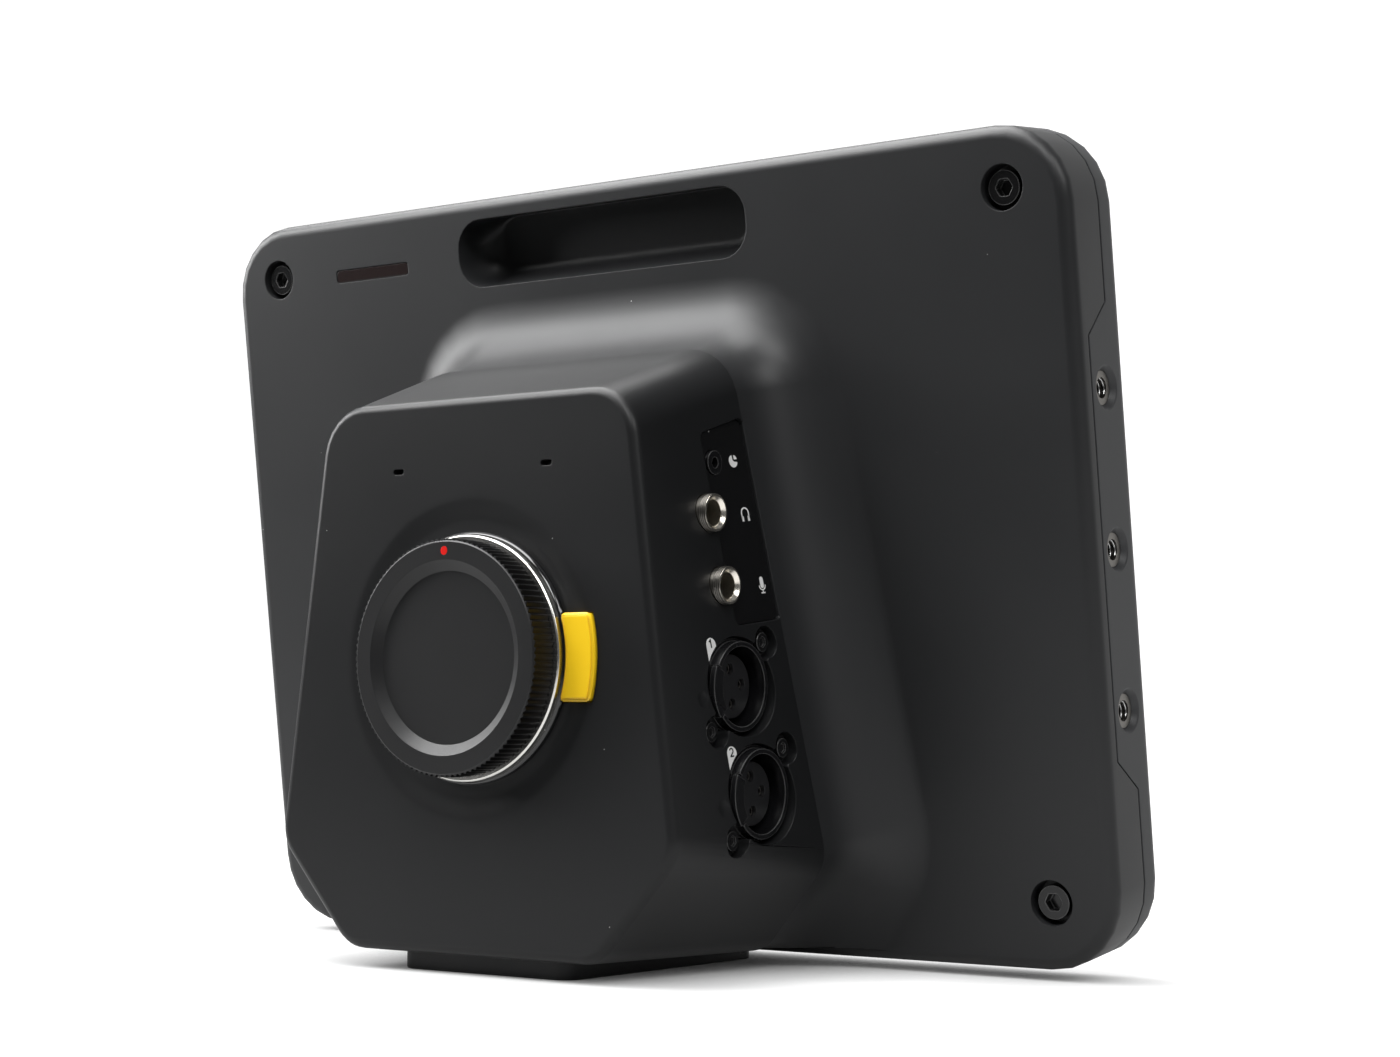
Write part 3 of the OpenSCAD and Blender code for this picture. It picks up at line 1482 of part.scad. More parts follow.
// The connectors on the pod's left side
coax_proud = 8;
coax_bore_r = 4.05;
coax_nut_t = 1.6;
coax_lug_r = 0.9;
coax_lug_out = 0.8;
coax_lug_back = 3;
coax_l = 16;
coax_core_r = 2.2;
coax_core_bore = 0.7;

module picture_plate() {
    color([0.03, 0.03, 0.033]) mirror([1, 0, 0]) difference() {
        intersection() {
            side_plate(left_plate_front_d, left_plate_rear_d, left_plate_low, left_plate_high, clear / 2);
            side_slab(-plate_sink - plate_t, -plate_sink);
        }
        for (i = [0:2]) on_side(coax_high - i * coax_pitch) translate([0, 0, -2 * pod_wall])
            cylinder(r = coax_hole_r + clear / 2, h = 3 * pod_wall);
        on_side(optical_h) translate([-optical_h_in / 2 - clear, -optical_w / 2 - clear, -2 * pod_wall])
            cube([optical_h_in + 2 * clear, optical_w + 2 * clear, 3 * pod_wall]);
    }
}

// A coaxial socket: bayonet barrel, collar in the wall and a centre post
module coax_socket(i) {
    color([0.76, 0.75, 0.72]) mirror([1, 0, 0]) on_side(coax_high - i * coax_pitch) {
        difference() {
            union() {
                translate([0, 0, -coax_l]) cylinder(r = coax_r, h = coax_l + coax_proud);
                translate([0, 0, -2 * pod_wall]) cylinder(r = coax_hole_r, h = 2 * pod_wall + coax_nut_t);
                rotate([90, 0, 0]) translate([0, coax_proud - coax_lug_back, -coax_r - coax_lug_out])
                    cylinder(r = coax_lug_r, h = 2 * (coax_r + coax_lug_out));
            }
            translate([0, 0, coax_proud - coax_l / 2]) cylinder(r = coax_bore_r, h = coax_l);
        }
        translate([0, 0, coax_proud - coax_l / 2]) tube(coax_core_r, coax_core_bore, coax_l / 2 - over);
    }
}

module sdi_out_socket() { coax_socket(0); }
module sdi_in_socket() { coax_socket(1); }
module reference_socket() { coax_socket(2); }

cage_wall = 0.6;
cage_l = 24;

module optical_cage() {
    color([0.7, 0.7, 0.69]) mirror([1, 0, 0]) on_side(optical_h) difference() {
        translate([-optical_h_in / 2, -optical_w / 2, -cage_l])
            cube([optical_h_in, optical_w, cage_l - plate_sink + cage_wall]);
        translate([-optical_h_in / 2 + cage_wall, -optical_w / 2 + cage_wall, -cage_l + cage_wall])
            cube([optical_h_in - 2 * cage_wall, optical_w - 2 * cage_wall, cage_l + over]);
    }
}

power_pin_r = 1.15;
power_pin_ring = 4.9;
power_floor = 14;
power_back = 17;
power_pin_top = 5.2;

module power_inlet() {
    color([0.05, 0.05, 0.05]) mirror([1, 0, 0]) on_side(power_h) {
        difference() {
            union() {
                translate([0, 0, -power_back]) cylinder(r = power_r, h = power_back - xlr_front);
                translate([0, 0, -xlr_well]) linear_extrude(xlr_flange_t)
                    xlr_shape(xlr_well_r - clear, xlr_ear_r - clear);
            }
            translate([0, 0, -power_floor]) cylinder(r = xlr_cavity_r, h = power_floor);
            at_xlr_screws() translate([0, 0, -xlr_well - over])
                cylinder(r = xlr_screw_hole_r + clear / 2, h = xlr_well);
        }
        for (turn = [45, 135, 225, 315]) rotate([0, 0, turn]) translate([power_pin_ring, 0, -power_floor])
            cylinder(r = power_pin_r, h = power_floor - power_pin_top);
    }
}

front_shell();
rear_cover();
inner_chassis();
screen_glass();
lcd_module();
main_board();
heat_sink();
battery_pack();
front_tally_lens();
front_tally_board();
rear_tally_lens();
corner_screws();
side_inserts();
key_boards();
power_key();
menu_key();
display_key();
up_key();
down_key();
talk_key();
louder_key();
quieter_key();
iris_key();
focus_key();
pod_shell();
pod_screws();
foot_block();
foot_inserts();
foot_screws();
mount_ring();
bayonet_flange();
flange_screws();
contact_block();
body_cap();
cap_index_dot();
release_button();
lock_pin();
sensor_frame();
filter_glass();
image_sensor();
sensor_board();
microphones();
sound_plate();
remote_jack();
headphone_jack();
talkback_jack();
xlr_1_shell();
xlr_2_shell();
xlr_1_insert();
xlr_2_insert();
xlr_1_latch();
xlr_2_latch();
xlr_contacts();
xlr_screws();
picture_plate();
sdi_out_socket();
sdi_in_socket();
reference_socket();
optical_cage();
power_inlet();
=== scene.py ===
# %% [markdown]
# # A studio camera, dressed for its portrait
#
# The construction of this camera is a solid model that is already exact. A big screen panel leans
# over a tapered lens pod, and both are matt charcoal mouldings. This lesson gives every piece its
# real surface. The work is in metres, in the frame of the solid model: X runs across the camera,
# the lens looks along -Y and Z is up from the table.

# %% Load the frame
import json
import math

import bmesh
import bpy
from mathutils import Matrix, Vector
from mathutils.bvhtree import BVHTree


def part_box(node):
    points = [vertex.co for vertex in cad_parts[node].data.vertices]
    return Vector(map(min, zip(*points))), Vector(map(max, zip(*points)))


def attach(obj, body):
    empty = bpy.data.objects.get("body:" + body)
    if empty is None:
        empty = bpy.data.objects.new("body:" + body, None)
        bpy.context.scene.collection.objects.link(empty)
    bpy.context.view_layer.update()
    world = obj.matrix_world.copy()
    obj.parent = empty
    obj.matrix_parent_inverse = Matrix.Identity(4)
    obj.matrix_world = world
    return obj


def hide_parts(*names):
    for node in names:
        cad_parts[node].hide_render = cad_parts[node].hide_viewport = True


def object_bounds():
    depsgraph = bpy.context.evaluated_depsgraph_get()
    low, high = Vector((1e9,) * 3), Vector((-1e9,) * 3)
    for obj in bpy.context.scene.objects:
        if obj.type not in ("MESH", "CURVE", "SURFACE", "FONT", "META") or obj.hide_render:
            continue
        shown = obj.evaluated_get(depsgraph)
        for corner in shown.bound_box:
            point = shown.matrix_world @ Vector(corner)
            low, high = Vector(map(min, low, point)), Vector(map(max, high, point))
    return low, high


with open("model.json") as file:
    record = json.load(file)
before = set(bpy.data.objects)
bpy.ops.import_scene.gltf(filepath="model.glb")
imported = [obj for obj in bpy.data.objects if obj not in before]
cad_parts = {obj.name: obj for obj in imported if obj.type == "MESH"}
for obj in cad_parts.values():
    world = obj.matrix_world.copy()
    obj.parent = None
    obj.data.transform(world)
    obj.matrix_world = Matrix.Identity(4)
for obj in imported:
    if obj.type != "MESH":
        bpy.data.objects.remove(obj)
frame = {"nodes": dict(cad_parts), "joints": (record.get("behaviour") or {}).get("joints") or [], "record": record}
MM = 0.001
cad_low, cad_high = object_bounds()
NODES = frame["nodes"]
MOUNTS = {mount["name"]: mount for mount in frame["record"]["mounts"]}
JOINTS = {joint["name"]: joint for joint in frame["joints"]}
BODY_OF = {node: body for body, nodes in frame["record"]["behaviour"]["bodies"].items() for node in nodes}
print(len(NODES), "solid pieces, box", [round(v * 1000) for v in cad_high - cad_low], "mm")

# %% [markdown]
# ## Finding places on the camera
#
# Two frames of its own help to say where things are. The panel leans, so a place on it is given
# across, behind its front and up it. The lens mount is round, so a place there is given on the
# lens axis. The lean is read from the direction in which the keys are pressed, and the lens axis
# from the mount's throat. Only the panel's own corner is given here, by two distances.

# %% The panel's frame and the lens axis
key_axis = Vector(JOINTS["menu_press"]["axis"]).normalized()
LEAN = math.atan2(-key_axis.z, -key_axis.y)
CAP_FRONT = 88.6 * MM
PANEL_FOOT = 2.2 * MM
PANEL_ORIGIN = Vector((0, cad_low.y + CAP_FRONT, PANEL_FOOT))
LENS = Vector(MOUNTS["lens_throat"]["pos_m"])


def on_panel(across, depth, up):
    """A point in millimetres on the panel, as a place in the camera's frame."""
    turn = Matrix.Rotation(LEAN, 3, "X")
    return PANEL_ORIGIN + turn @ (Vector((across, depth, up)) * MM)


def new_object(name, data):
    """An object that shows its data in the scene."""
    made = bpy.data.objects.new(name, data)
    bpy.context.scene.collection.objects.link(made)
    return made


print("lean", round(math.degrees(LEAN), 2), "degrees, lens axis at", [round(v * 1000, 1) for v in LENS])

# %% [markdown]
# ## The camera that takes the picture
#
# The photographer stood low, to the right of the lens, and looked slightly up. The place, the
# turn and the focal length below come from fitting a pinhole camera to the panel's corners and to
# the standard sockets in the side.

# %% Photographer's camera
VIEW_FROM = Vector((426.92, -540.75, 64.54)) * MM
VIEW_AZIMUTH = math.radians(35.814)
VIEW_RISE = math.radians(4.039)
VIEW_ROLL = math.radians(0.290)
VIEW_LENS = 67.545
FILM_WIDTH = 36
NEAREST = 0.01

forward = Vector((-math.sin(VIEW_AZIMUTH) * math.cos(VIEW_RISE),
                  math.cos(VIEW_AZIMUTH) * math.cos(VIEW_RISE), math.sin(VIEW_RISE)))
level_right = Vector((math.cos(VIEW_AZIMUTH), math.sin(VIEW_AZIMUTH), 0))
level_up = level_right.cross(forward)
view_right = math.cos(VIEW_ROLL) * level_right + math.sin(VIEW_ROLL) * level_up
view_up = -math.sin(VIEW_ROLL) * level_right + math.cos(VIEW_ROLL) * level_up

camera_data = bpy.data.cameras.new("photographer")
camera_data.lens = VIEW_LENS
camera_data.sensor_width = FILM_WIDTH
camera_data.clip_start = NEAREST
camera = new_object("photographer", camera_data)
camera.matrix_world = Matrix((
    (view_right.x, view_up.x, -forward.x, VIEW_FROM.x),
    (view_right.y, view_up.y, -forward.y, VIEW_FROM.y),
    (view_right.z, view_up.z, -forward.z, VIEW_FROM.z),
    (0, 0, 0, 1),
))
bpy.context.scene.camera = camera
print("camera", round((VIEW_FROM - LENS).length, 2), "m from the lens")

# %% [markdown]
# ## White sweep and soft light
#
# A product shot like this stands on a white sweep that runs up behind the object. Under plain
# light a white floor would come out grey, so the floor and the backdrop glow for the camera's own
# rays, and less strongly in reflections. The glow fades where something stands close, a painted
# contact shadow on top of the real one, which keeps the dark line under the camera. Five softboxes
# light it. The largest is overhead and draws the highlight in the cove above the pod. One at the
# front right and one at the right reach the sockets and the side band. One high at the left
# brightens the button, and a small weak one grazes the panel from the left. The room itself is
# nearly dark, so the panel's front stays charcoal.

# %% Helpers for node trees
def link(tree, source, target):
    tree.links.new(source, target)


def node(tree, kind, **values):
    """A new shader node with its properties and its inputs' values set by name."""
    made = tree.nodes.new(kind)
    for name, value in values.items():
        if hasattr(made, name):
            setattr(made, name, value)
        else:
            made.inputs[name.replace("_", " ")].default_value = value
    return made


def blend_color(tree, factor, first, second):
    """A colour mix; first and second are sockets or plain colours."""
    mix = node(tree, "ShaderNodeMix", data_type="RGBA")
    link(tree, factor, mix.inputs[0])
    for slot, given in ((6, first), (7, second)):
        if isinstance(given, tuple):
            mix.inputs[slot].default_value = (*given, 1)
        else:
            link(tree, given, mix.inputs[slot])
    return mix.outputs[2]


def calc(tree, operation, first, second):
    """The result of one operation on two sockets or plain numbers."""
    made = node(tree, "ShaderNodeMath", operation=operation)
    for slot, given in enumerate((first, second)):
        if isinstance(given, (int, float)):
            made.inputs[slot].default_value = given
        else:
            link(tree, given, made.inputs[slot])
    return made.outputs[0]


print("helpers ready")

# %% Floor and backdrop
FLOOR_HALF = 3.0
SWEEP_BACK = 1.6
SWEEP_RADIUS = 0.5
SWEEP_FRONT = -0.3
SWEEP_HEIGHT = 2.4
SWEEP_STEPS = 12
SWEEP_WHITE = 0.22
SHADE_REACH = 0.035
SHADE_POWER = 0.8
MIRRORED_GLOW = 0.6


def sweep_mesh():
    """A floor that bends up behind the camera in one curve."""
    profile = [(SWEEP_FRONT, 0.0)]
    for step in range(SWEEP_STEPS + 1):
        angle = math.radians(90 * step / SWEEP_STEPS)
        profile.append((SWEEP_BACK - SWEEP_RADIUS + SWEEP_RADIUS * math.sin(angle),
                        SWEEP_RADIUS - SWEEP_RADIUS * math.cos(angle)))
    profile.append((SWEEP_BACK, SWEEP_HEIGHT))
    mesh = bpy.data.meshes.new("white_sweep")
    verts = [(x, y, z) for y, z in profile for x in (-FLOOR_HALF, FLOOR_HALF)]
    faces = [(2 * i, 2 * i + 1, 2 * i + 3, 2 * i + 2) for i in range(len(profile) - 1)]
    mesh.from_pydata(verts, [], faces)
    mesh.shade_smooth()
    return mesh


def sweep_material():
    """Matt white that glows where rays see it, with the glow dimmed into painted shade where something stands
    near.
    """
    material = bpy.data.materials.new("sweep_white")
    material.use_nodes = True
    tree = material.node_tree
    tree.nodes.clear()
    matt = node(tree, "ShaderNodeBsdfDiffuse", Color=(SWEEP_WHITE, SWEEP_WHITE, SWEEP_WHITE, 1))
    near = node(tree, "ShaderNodeAmbientOcclusion", samples=4, Distance=SHADE_REACH)
    glow = node(tree, "ShaderNodeEmission", Color=(1, 1, 1, 1))
    rays = node(tree, "ShaderNodeLightPath")
    dark = node(tree, "ShaderNodeBsdfTransparent", Color=(0, 0, 0, 1))
    pick = node(tree, "ShaderNodeMixShader")
    add = node(tree, "ShaderNodeAddShader")
    out = node(tree, "ShaderNodeOutputMaterial")
    mirrored = calc(tree, "MULTIPLY", rays.outputs["Is Glossy Ray"], MIRRORED_GLOW)
    through = calc(tree, "MAXIMUM", mirrored, rays.outputs["Is Transmission Ray"])
    # Painted shade: occlusion dims the floor's glow where something stands close, a painted contact shadow.
    link(tree, calc(tree, "POWER", near.outputs["AO"], SHADE_POWER), glow.inputs["Strength"])
    link(tree, calc(tree, "MAXIMUM", rays.outputs["Is Camera Ray"], through), pick.inputs[0])
    link(tree, dark.outputs[0], pick.inputs[1])
    link(tree, glow.outputs[0], pick.inputs[2])
    link(tree, matt.outputs[0], add.inputs[0])
    link(tree, pick.outputs[0], add.inputs[1])
    link(tree, add.outputs[0], out.inputs["Surface"])
    return material


sweep = new_object("white_sweep", sweep_mesh())
sweep.data.materials.append(sweep_material())
print("sweep", len(sweep.data.polygons), "faces")

# %% World and lamps
WORLD_LIGHT = 0.05

# Each softbox: its place, the point that it faces, its width and height in metres, and its watts
SOFTBOXES = {
    "overhead_softbox": ((-0.35, -0.12, 1.2), (0, 0, 0.12), 1.3, 1.0, 36),
    "front_softbox": ((0.75, -1.1, 1.5), (0, -0.02, 0.15), 0.6, 0.6, 12),
    "left_softbox": ((-0.95, -0.75, 1.15), (-0.08, 0, 0.2), 0.8, 0.5, 14),
    "side_softbox": ((-0.7, -0.16, 0.4), (-0.1, 0, 0.14), 0.4, 0.4, 4.5),
    "right_softbox": ((1.1, -0.35, 0.9), (0.1, 0, 0.12), 0.5, 0.5, 5),
}


def softbox(name, place, aim, width, height, power):
    """A rectangular area lamp at a place, turned towards a point."""
    lamp = bpy.data.lights.new(name, "AREA")
    lamp.shape = "RECTANGLE"
    lamp.size = width
    lamp.size_y = height
    lamp.energy = power
    holder = new_object(name, lamp)
    holder.location = place
    holder.rotation_euler = (Vector(aim) - Vector(place)).to_track_quat("-Z", "Y").to_euler()


world = bpy.data.worlds.new("studio")
bpy.context.scene.world = world
world.use_nodes = True
tree = world.node_tree
tree.nodes.clear()
rays = node(tree, "ShaderNodeLightPath")
room = node(tree, "ShaderNodeBackground", Color=(1, 1, 1, 1), Strength=WORLD_LIGHT)
white = node(tree, "ShaderNodeBackground", Color=(1, 1, 1, 1), Strength=1.0)
pick = node(tree, "ShaderNodeMixShader")
out = node(tree, "ShaderNodeOutputWorld")
link(tree, rays.outputs["Is Camera Ray"], pick.inputs[0])
link(tree, room.outputs[0], pick.inputs[1])
link(tree, white.outputs[0], pick.inputs[2])
link(tree, pick.outputs[0], out.inputs["Surface"])

for name, settings in SOFTBOXES.items():
    softbox(name, *settings)
bpy.context.scene.view_settings.view_transform = "Standard"

# %% [markdown]
# ## Effects that several finishes share
#
# A moulding is never one flat colour. Its surface has a fine spark texture, its shade drifts a
# little, a rubbed edge is paler, and some dust always lies on black plastic. Each of these is a
# node group with its own inputs, so that one effect can be tuned for each material.

# %% Group builder
def effect(name, inputs, outputs):
    """An empty shader node group with named sockets."""
    group = bpy.data.node_groups.new(name, "ShaderNodeTree")
    for label, kind, value in inputs:
        socket = group.interface.new_socket(label, in_out="INPUT", socket_type=kind)
        socket.default_value = value
    for label, kind in outputs:
        group.interface.new_socket(label, in_out="OUTPUT", socket_type=kind)
    return group, group.nodes.new("NodeGroupInput"), group.nodes.new("NodeGroupOutput")


FLOAT = "NodeSocketFloat"
MM_IN_METRE = 1000.0
COARSE_SHARE = 0.4
COARSE_WEIGHT = 0.35
DUSTED_CELLS_OVER = 0.55
FLAT_AGREES = 0.995
EDGE_AGREES = 0.93


def make_spark():
    """Spark texture: two sizes of fine grain, as a height from 0 to 1."""
    group, given, result = effect("spark_texture", [("Grain Size mm", FLOAT, 0.25)], [("Height", FLOAT)])
    place = node(group, "ShaderNodeTexCoord")
    fine = node(group, "ShaderNodeTexNoise", Detail=3.0, Roughness=0.65)
    coarse = node(group, "ShaderNodeTexVoronoi")
    mix = node(group, "ShaderNodeMix")
    mix.inputs[0].default_value = COARSE_WEIGHT
    scale = calc(group, "DIVIDE", MM_IN_METRE, given.outputs[0])
    link(group, scale, fine.inputs["Scale"])
    link(group, calc(group, "MULTIPLY", scale, COARSE_SHARE), coarse.inputs["Scale"])
    link(group, place.outputs["Object"], fine.inputs["Vector"])
    link(group, place.outputs["Object"], coarse.inputs["Vector"])
    link(group, fine.outputs[0], mix.inputs[2])
    link(group, coarse.outputs["Distance"], mix.inputs[3])
    link(group, mix.outputs[0], result.inputs[0])
    return group


def make_dust():
    """Dust: rare pale specks, as a mask."""
    group, given, result = effect(
        "dust_specks", [("Spacing mm", FLOAT, 9.0), ("Speck Size", FLOAT, 0.02)], [("Mask", FLOAT)])
    place = node(group, "ShaderNodeTexCoord")
    cells = node(group, "ShaderNodeTexVoronoi")
    split = node(group, "ShaderNodeSeparateColor")
    link(group, calc(group, "DIVIDE", MM_IN_METRE, given.outputs[0]), cells.inputs["Scale"])
    link(group, place.outputs["Object"], cells.inputs["Vector"])
    link(group, cells.outputs["Color"], split.inputs[0])
    size = calc(group, "MULTIPLY", split.outputs["Green"], given.outputs[1])
    inside = calc(group, "LESS_THAN", cells.outputs["Distance"], size)
    some = calc(group, "GREATER_THAN", split.outputs["Red"], DUSTED_CELLS_OVER)
    link(group, calc(group, "MULTIPLY", inside, some), result.inputs[0])
    return group


def make_wear():
    """Edge wear: a mask that is 1 where a rounded normal leaves the true one, broken up by noise."""
    group, given, result = effect("edge_wear", [("Amount", FLOAT, 1.0), ("Width m", FLOAT, 0.0003)],
                                  [("Mask", FLOAT)])
    round_normal = node(group, "ShaderNodeBevel", samples=4)
    shape = node(group, "ShaderNodeNewGeometry")
    agree = node(group, "ShaderNodeVectorMath", operation="DOT_PRODUCT")
    ramp = node(group, "ShaderNodeMapRange", From_Min=FLAT_AGREES, From_Max=EDGE_AGREES)
    place = node(group, "ShaderNodeTexCoord")
    patch = node(group, "ShaderNodeTexNoise", Scale=90.0, Detail=4.0)
    link(group, given.outputs[1], round_normal.inputs["Radius"])
    link(group, round_normal.outputs[0], agree.inputs[0])
    link(group, shape.outputs["True Normal"], agree.inputs[1])
    link(group, agree.outputs["Value"], ramp.inputs["Value"])
    link(group, place.outputs["Object"], patch.inputs["Vector"])
    both = calc(group, "MULTIPLY", ramp.outputs[0], patch.outputs[0])
    link(group, calc(group, "MULTIPLY", both, given.outputs[0]), result.inputs[0])
    return group


def make_drift():
    """Drift: a slow change from 0 to 1 over centimetres, for shade and roughness."""
    group, given, result = effect("slow_drift", [("Size mm", FLOAT, 40.0)], [("Value", FLOAT)])
    place = node(group, "ShaderNodeTexCoord")
    noise = node(group, "ShaderNodeTexNoise", Detail=5.0, Roughness=0.55)
    link(group, calc(group, "DIVIDE", MM_IN_METRE, given.outputs[0]), noise.inputs["Scale"])
    link(group, place.outputs["Object"], noise.inputs["Vector"])
    link(group, noise.outputs[0], result.inputs[0])
    return group


SPARK, DUST, WEAR, DRIFT = make_spark(), make_dust(), make_wear(), make_drift()
print("effects", [g.name for g in (SPARK, DUST, WEAR, DRIFT)])

# %% [markdown]
# ## Finishes
#
# One recipe serves all the plastics and paints: a base colour that drifts, paler rubbed edges,
# dust over it, roughness that drifts the other way, and the spark texture as a very low bump.
# What makes soft charcoal differ from shiny black is only the values. Metals get their own recipe,
# with fine marks instead of grain.

# %% Moulded plastic and paint
PLASTIC_DUST = (0.45, 0.45, 0.44)
METAL_DUST = (0.3, 0.3, 0.29)
METAL_DUST_SPACING = 5.0
GRAIN_HEIGHT = 0.00005
MARK_HEIGHT = 0.00003


def placed(tree, group, **values):
    """One use of an effect, with its inputs' values set by name."""
    made = tree.nodes.new("ShaderNodeGroup")
    made.node_tree = group
    for name, value in values.items():
        made.inputs[name.replace("_", " ")].default_value = value
    return made


def moulded(name, dark, light, rough=(0.42, 0.55), grain=0.25, bump=0.12, wear=0.0, worn=(0.2, 0.2, 0.2),
            dust=0.02, spacing=9.0, coat=0.0, metallic=0.0, drift=40.0, sheen=0.5):
    """A moulded or painted surface with grain, drift, worn edges and dust."""
    material = bpy.data.materials.new(name)
    material.use_nodes = True
    tree = material.node_tree
    shader = tree.nodes["Principled BSDF"]
    slow = placed(tree, DRIFT, Size_mm=drift)
    color = blend_color(tree, slow.outputs[0], dark, light)
    if wear:
        edges = placed(tree, WEAR, Amount=wear)
        color = blend_color(tree, edges.outputs[0], color, worn)
    specks = placed(tree, DUST, Spacing_mm=spacing, Speck_Size=dust)
    color = blend_color(tree, specks.outputs[0], color, PLASTIC_DUST)
    link(tree, color, shader.inputs["Base Color"])
    vary = node(tree, "ShaderNodeMapRange")
    vary.inputs["To Min"].default_value, vary.inputs["To Max"].default_value = rough
    link(tree, slow.outputs[0], vary.inputs["Value"])
    link(tree, vary.outputs[0], shader.inputs["Roughness"])
    spark = placed(tree, SPARK, Grain_Size_mm=grain)
    raised = node(tree, "ShaderNodeBump", Strength=bump, Distance=GRAIN_HEIGHT)
    link(tree, spark.outputs[0], raised.inputs["Height"])
    link(tree, raised.outputs[0], shader.inputs["Normal"])
    shader.inputs["Metallic"].default_value = metallic
    shader.inputs["Coat Weight"].default_value = coat
    shader.inputs["Specular IOR Level"].default_value = sheen
    return material


def metal(name, dark, light, rough=(0.18, 0.32), scale=900.0, bump=0.06, dust=0.008):
    """Turned or plated metal with fine marks, drifting roughness and a little dust."""
    material = bpy.data.materials.new(name)
    material.use_nodes = True
    tree = material.node_tree
    shader = tree.nodes["Principled BSDF"]
    place = node(tree, "ShaderNodeTexCoord")
    marks = node(tree, "ShaderNodeTexNoise", Scale=scale, Detail=4.0, Roughness=0.7)
    link(tree, place.outputs["Object"], marks.inputs["Vector"])
    color = blend_color(tree, marks.outputs[0], dark, light)
    specks = placed(tree, DUST, Spacing_mm=METAL_DUST_SPACING, Speck_Size=dust)
    color = blend_color(tree, specks.outputs[0], color, METAL_DUST)
    link(tree, color, shader.inputs["Base Color"])
    vary = node(tree, "ShaderNodeMapRange")
    vary.inputs["To Min"].default_value, vary.inputs["To Max"].default_value = rough
    link(tree, marks.outputs[0], vary.inputs["Value"])
    link(tree, vary.outputs[0], shader.inputs["Roughness"])
    raised = node(tree, "ShaderNodeBump", Strength=bump, Distance=MARK_HEIGHT)
    link(tree, marks.outputs[0], raised.inputs["Height"])
    link(tree, raised.outputs[0], shader.inputs["Normal"])
    shader.inputs["Metallic"].default_value = 1.0
    return material


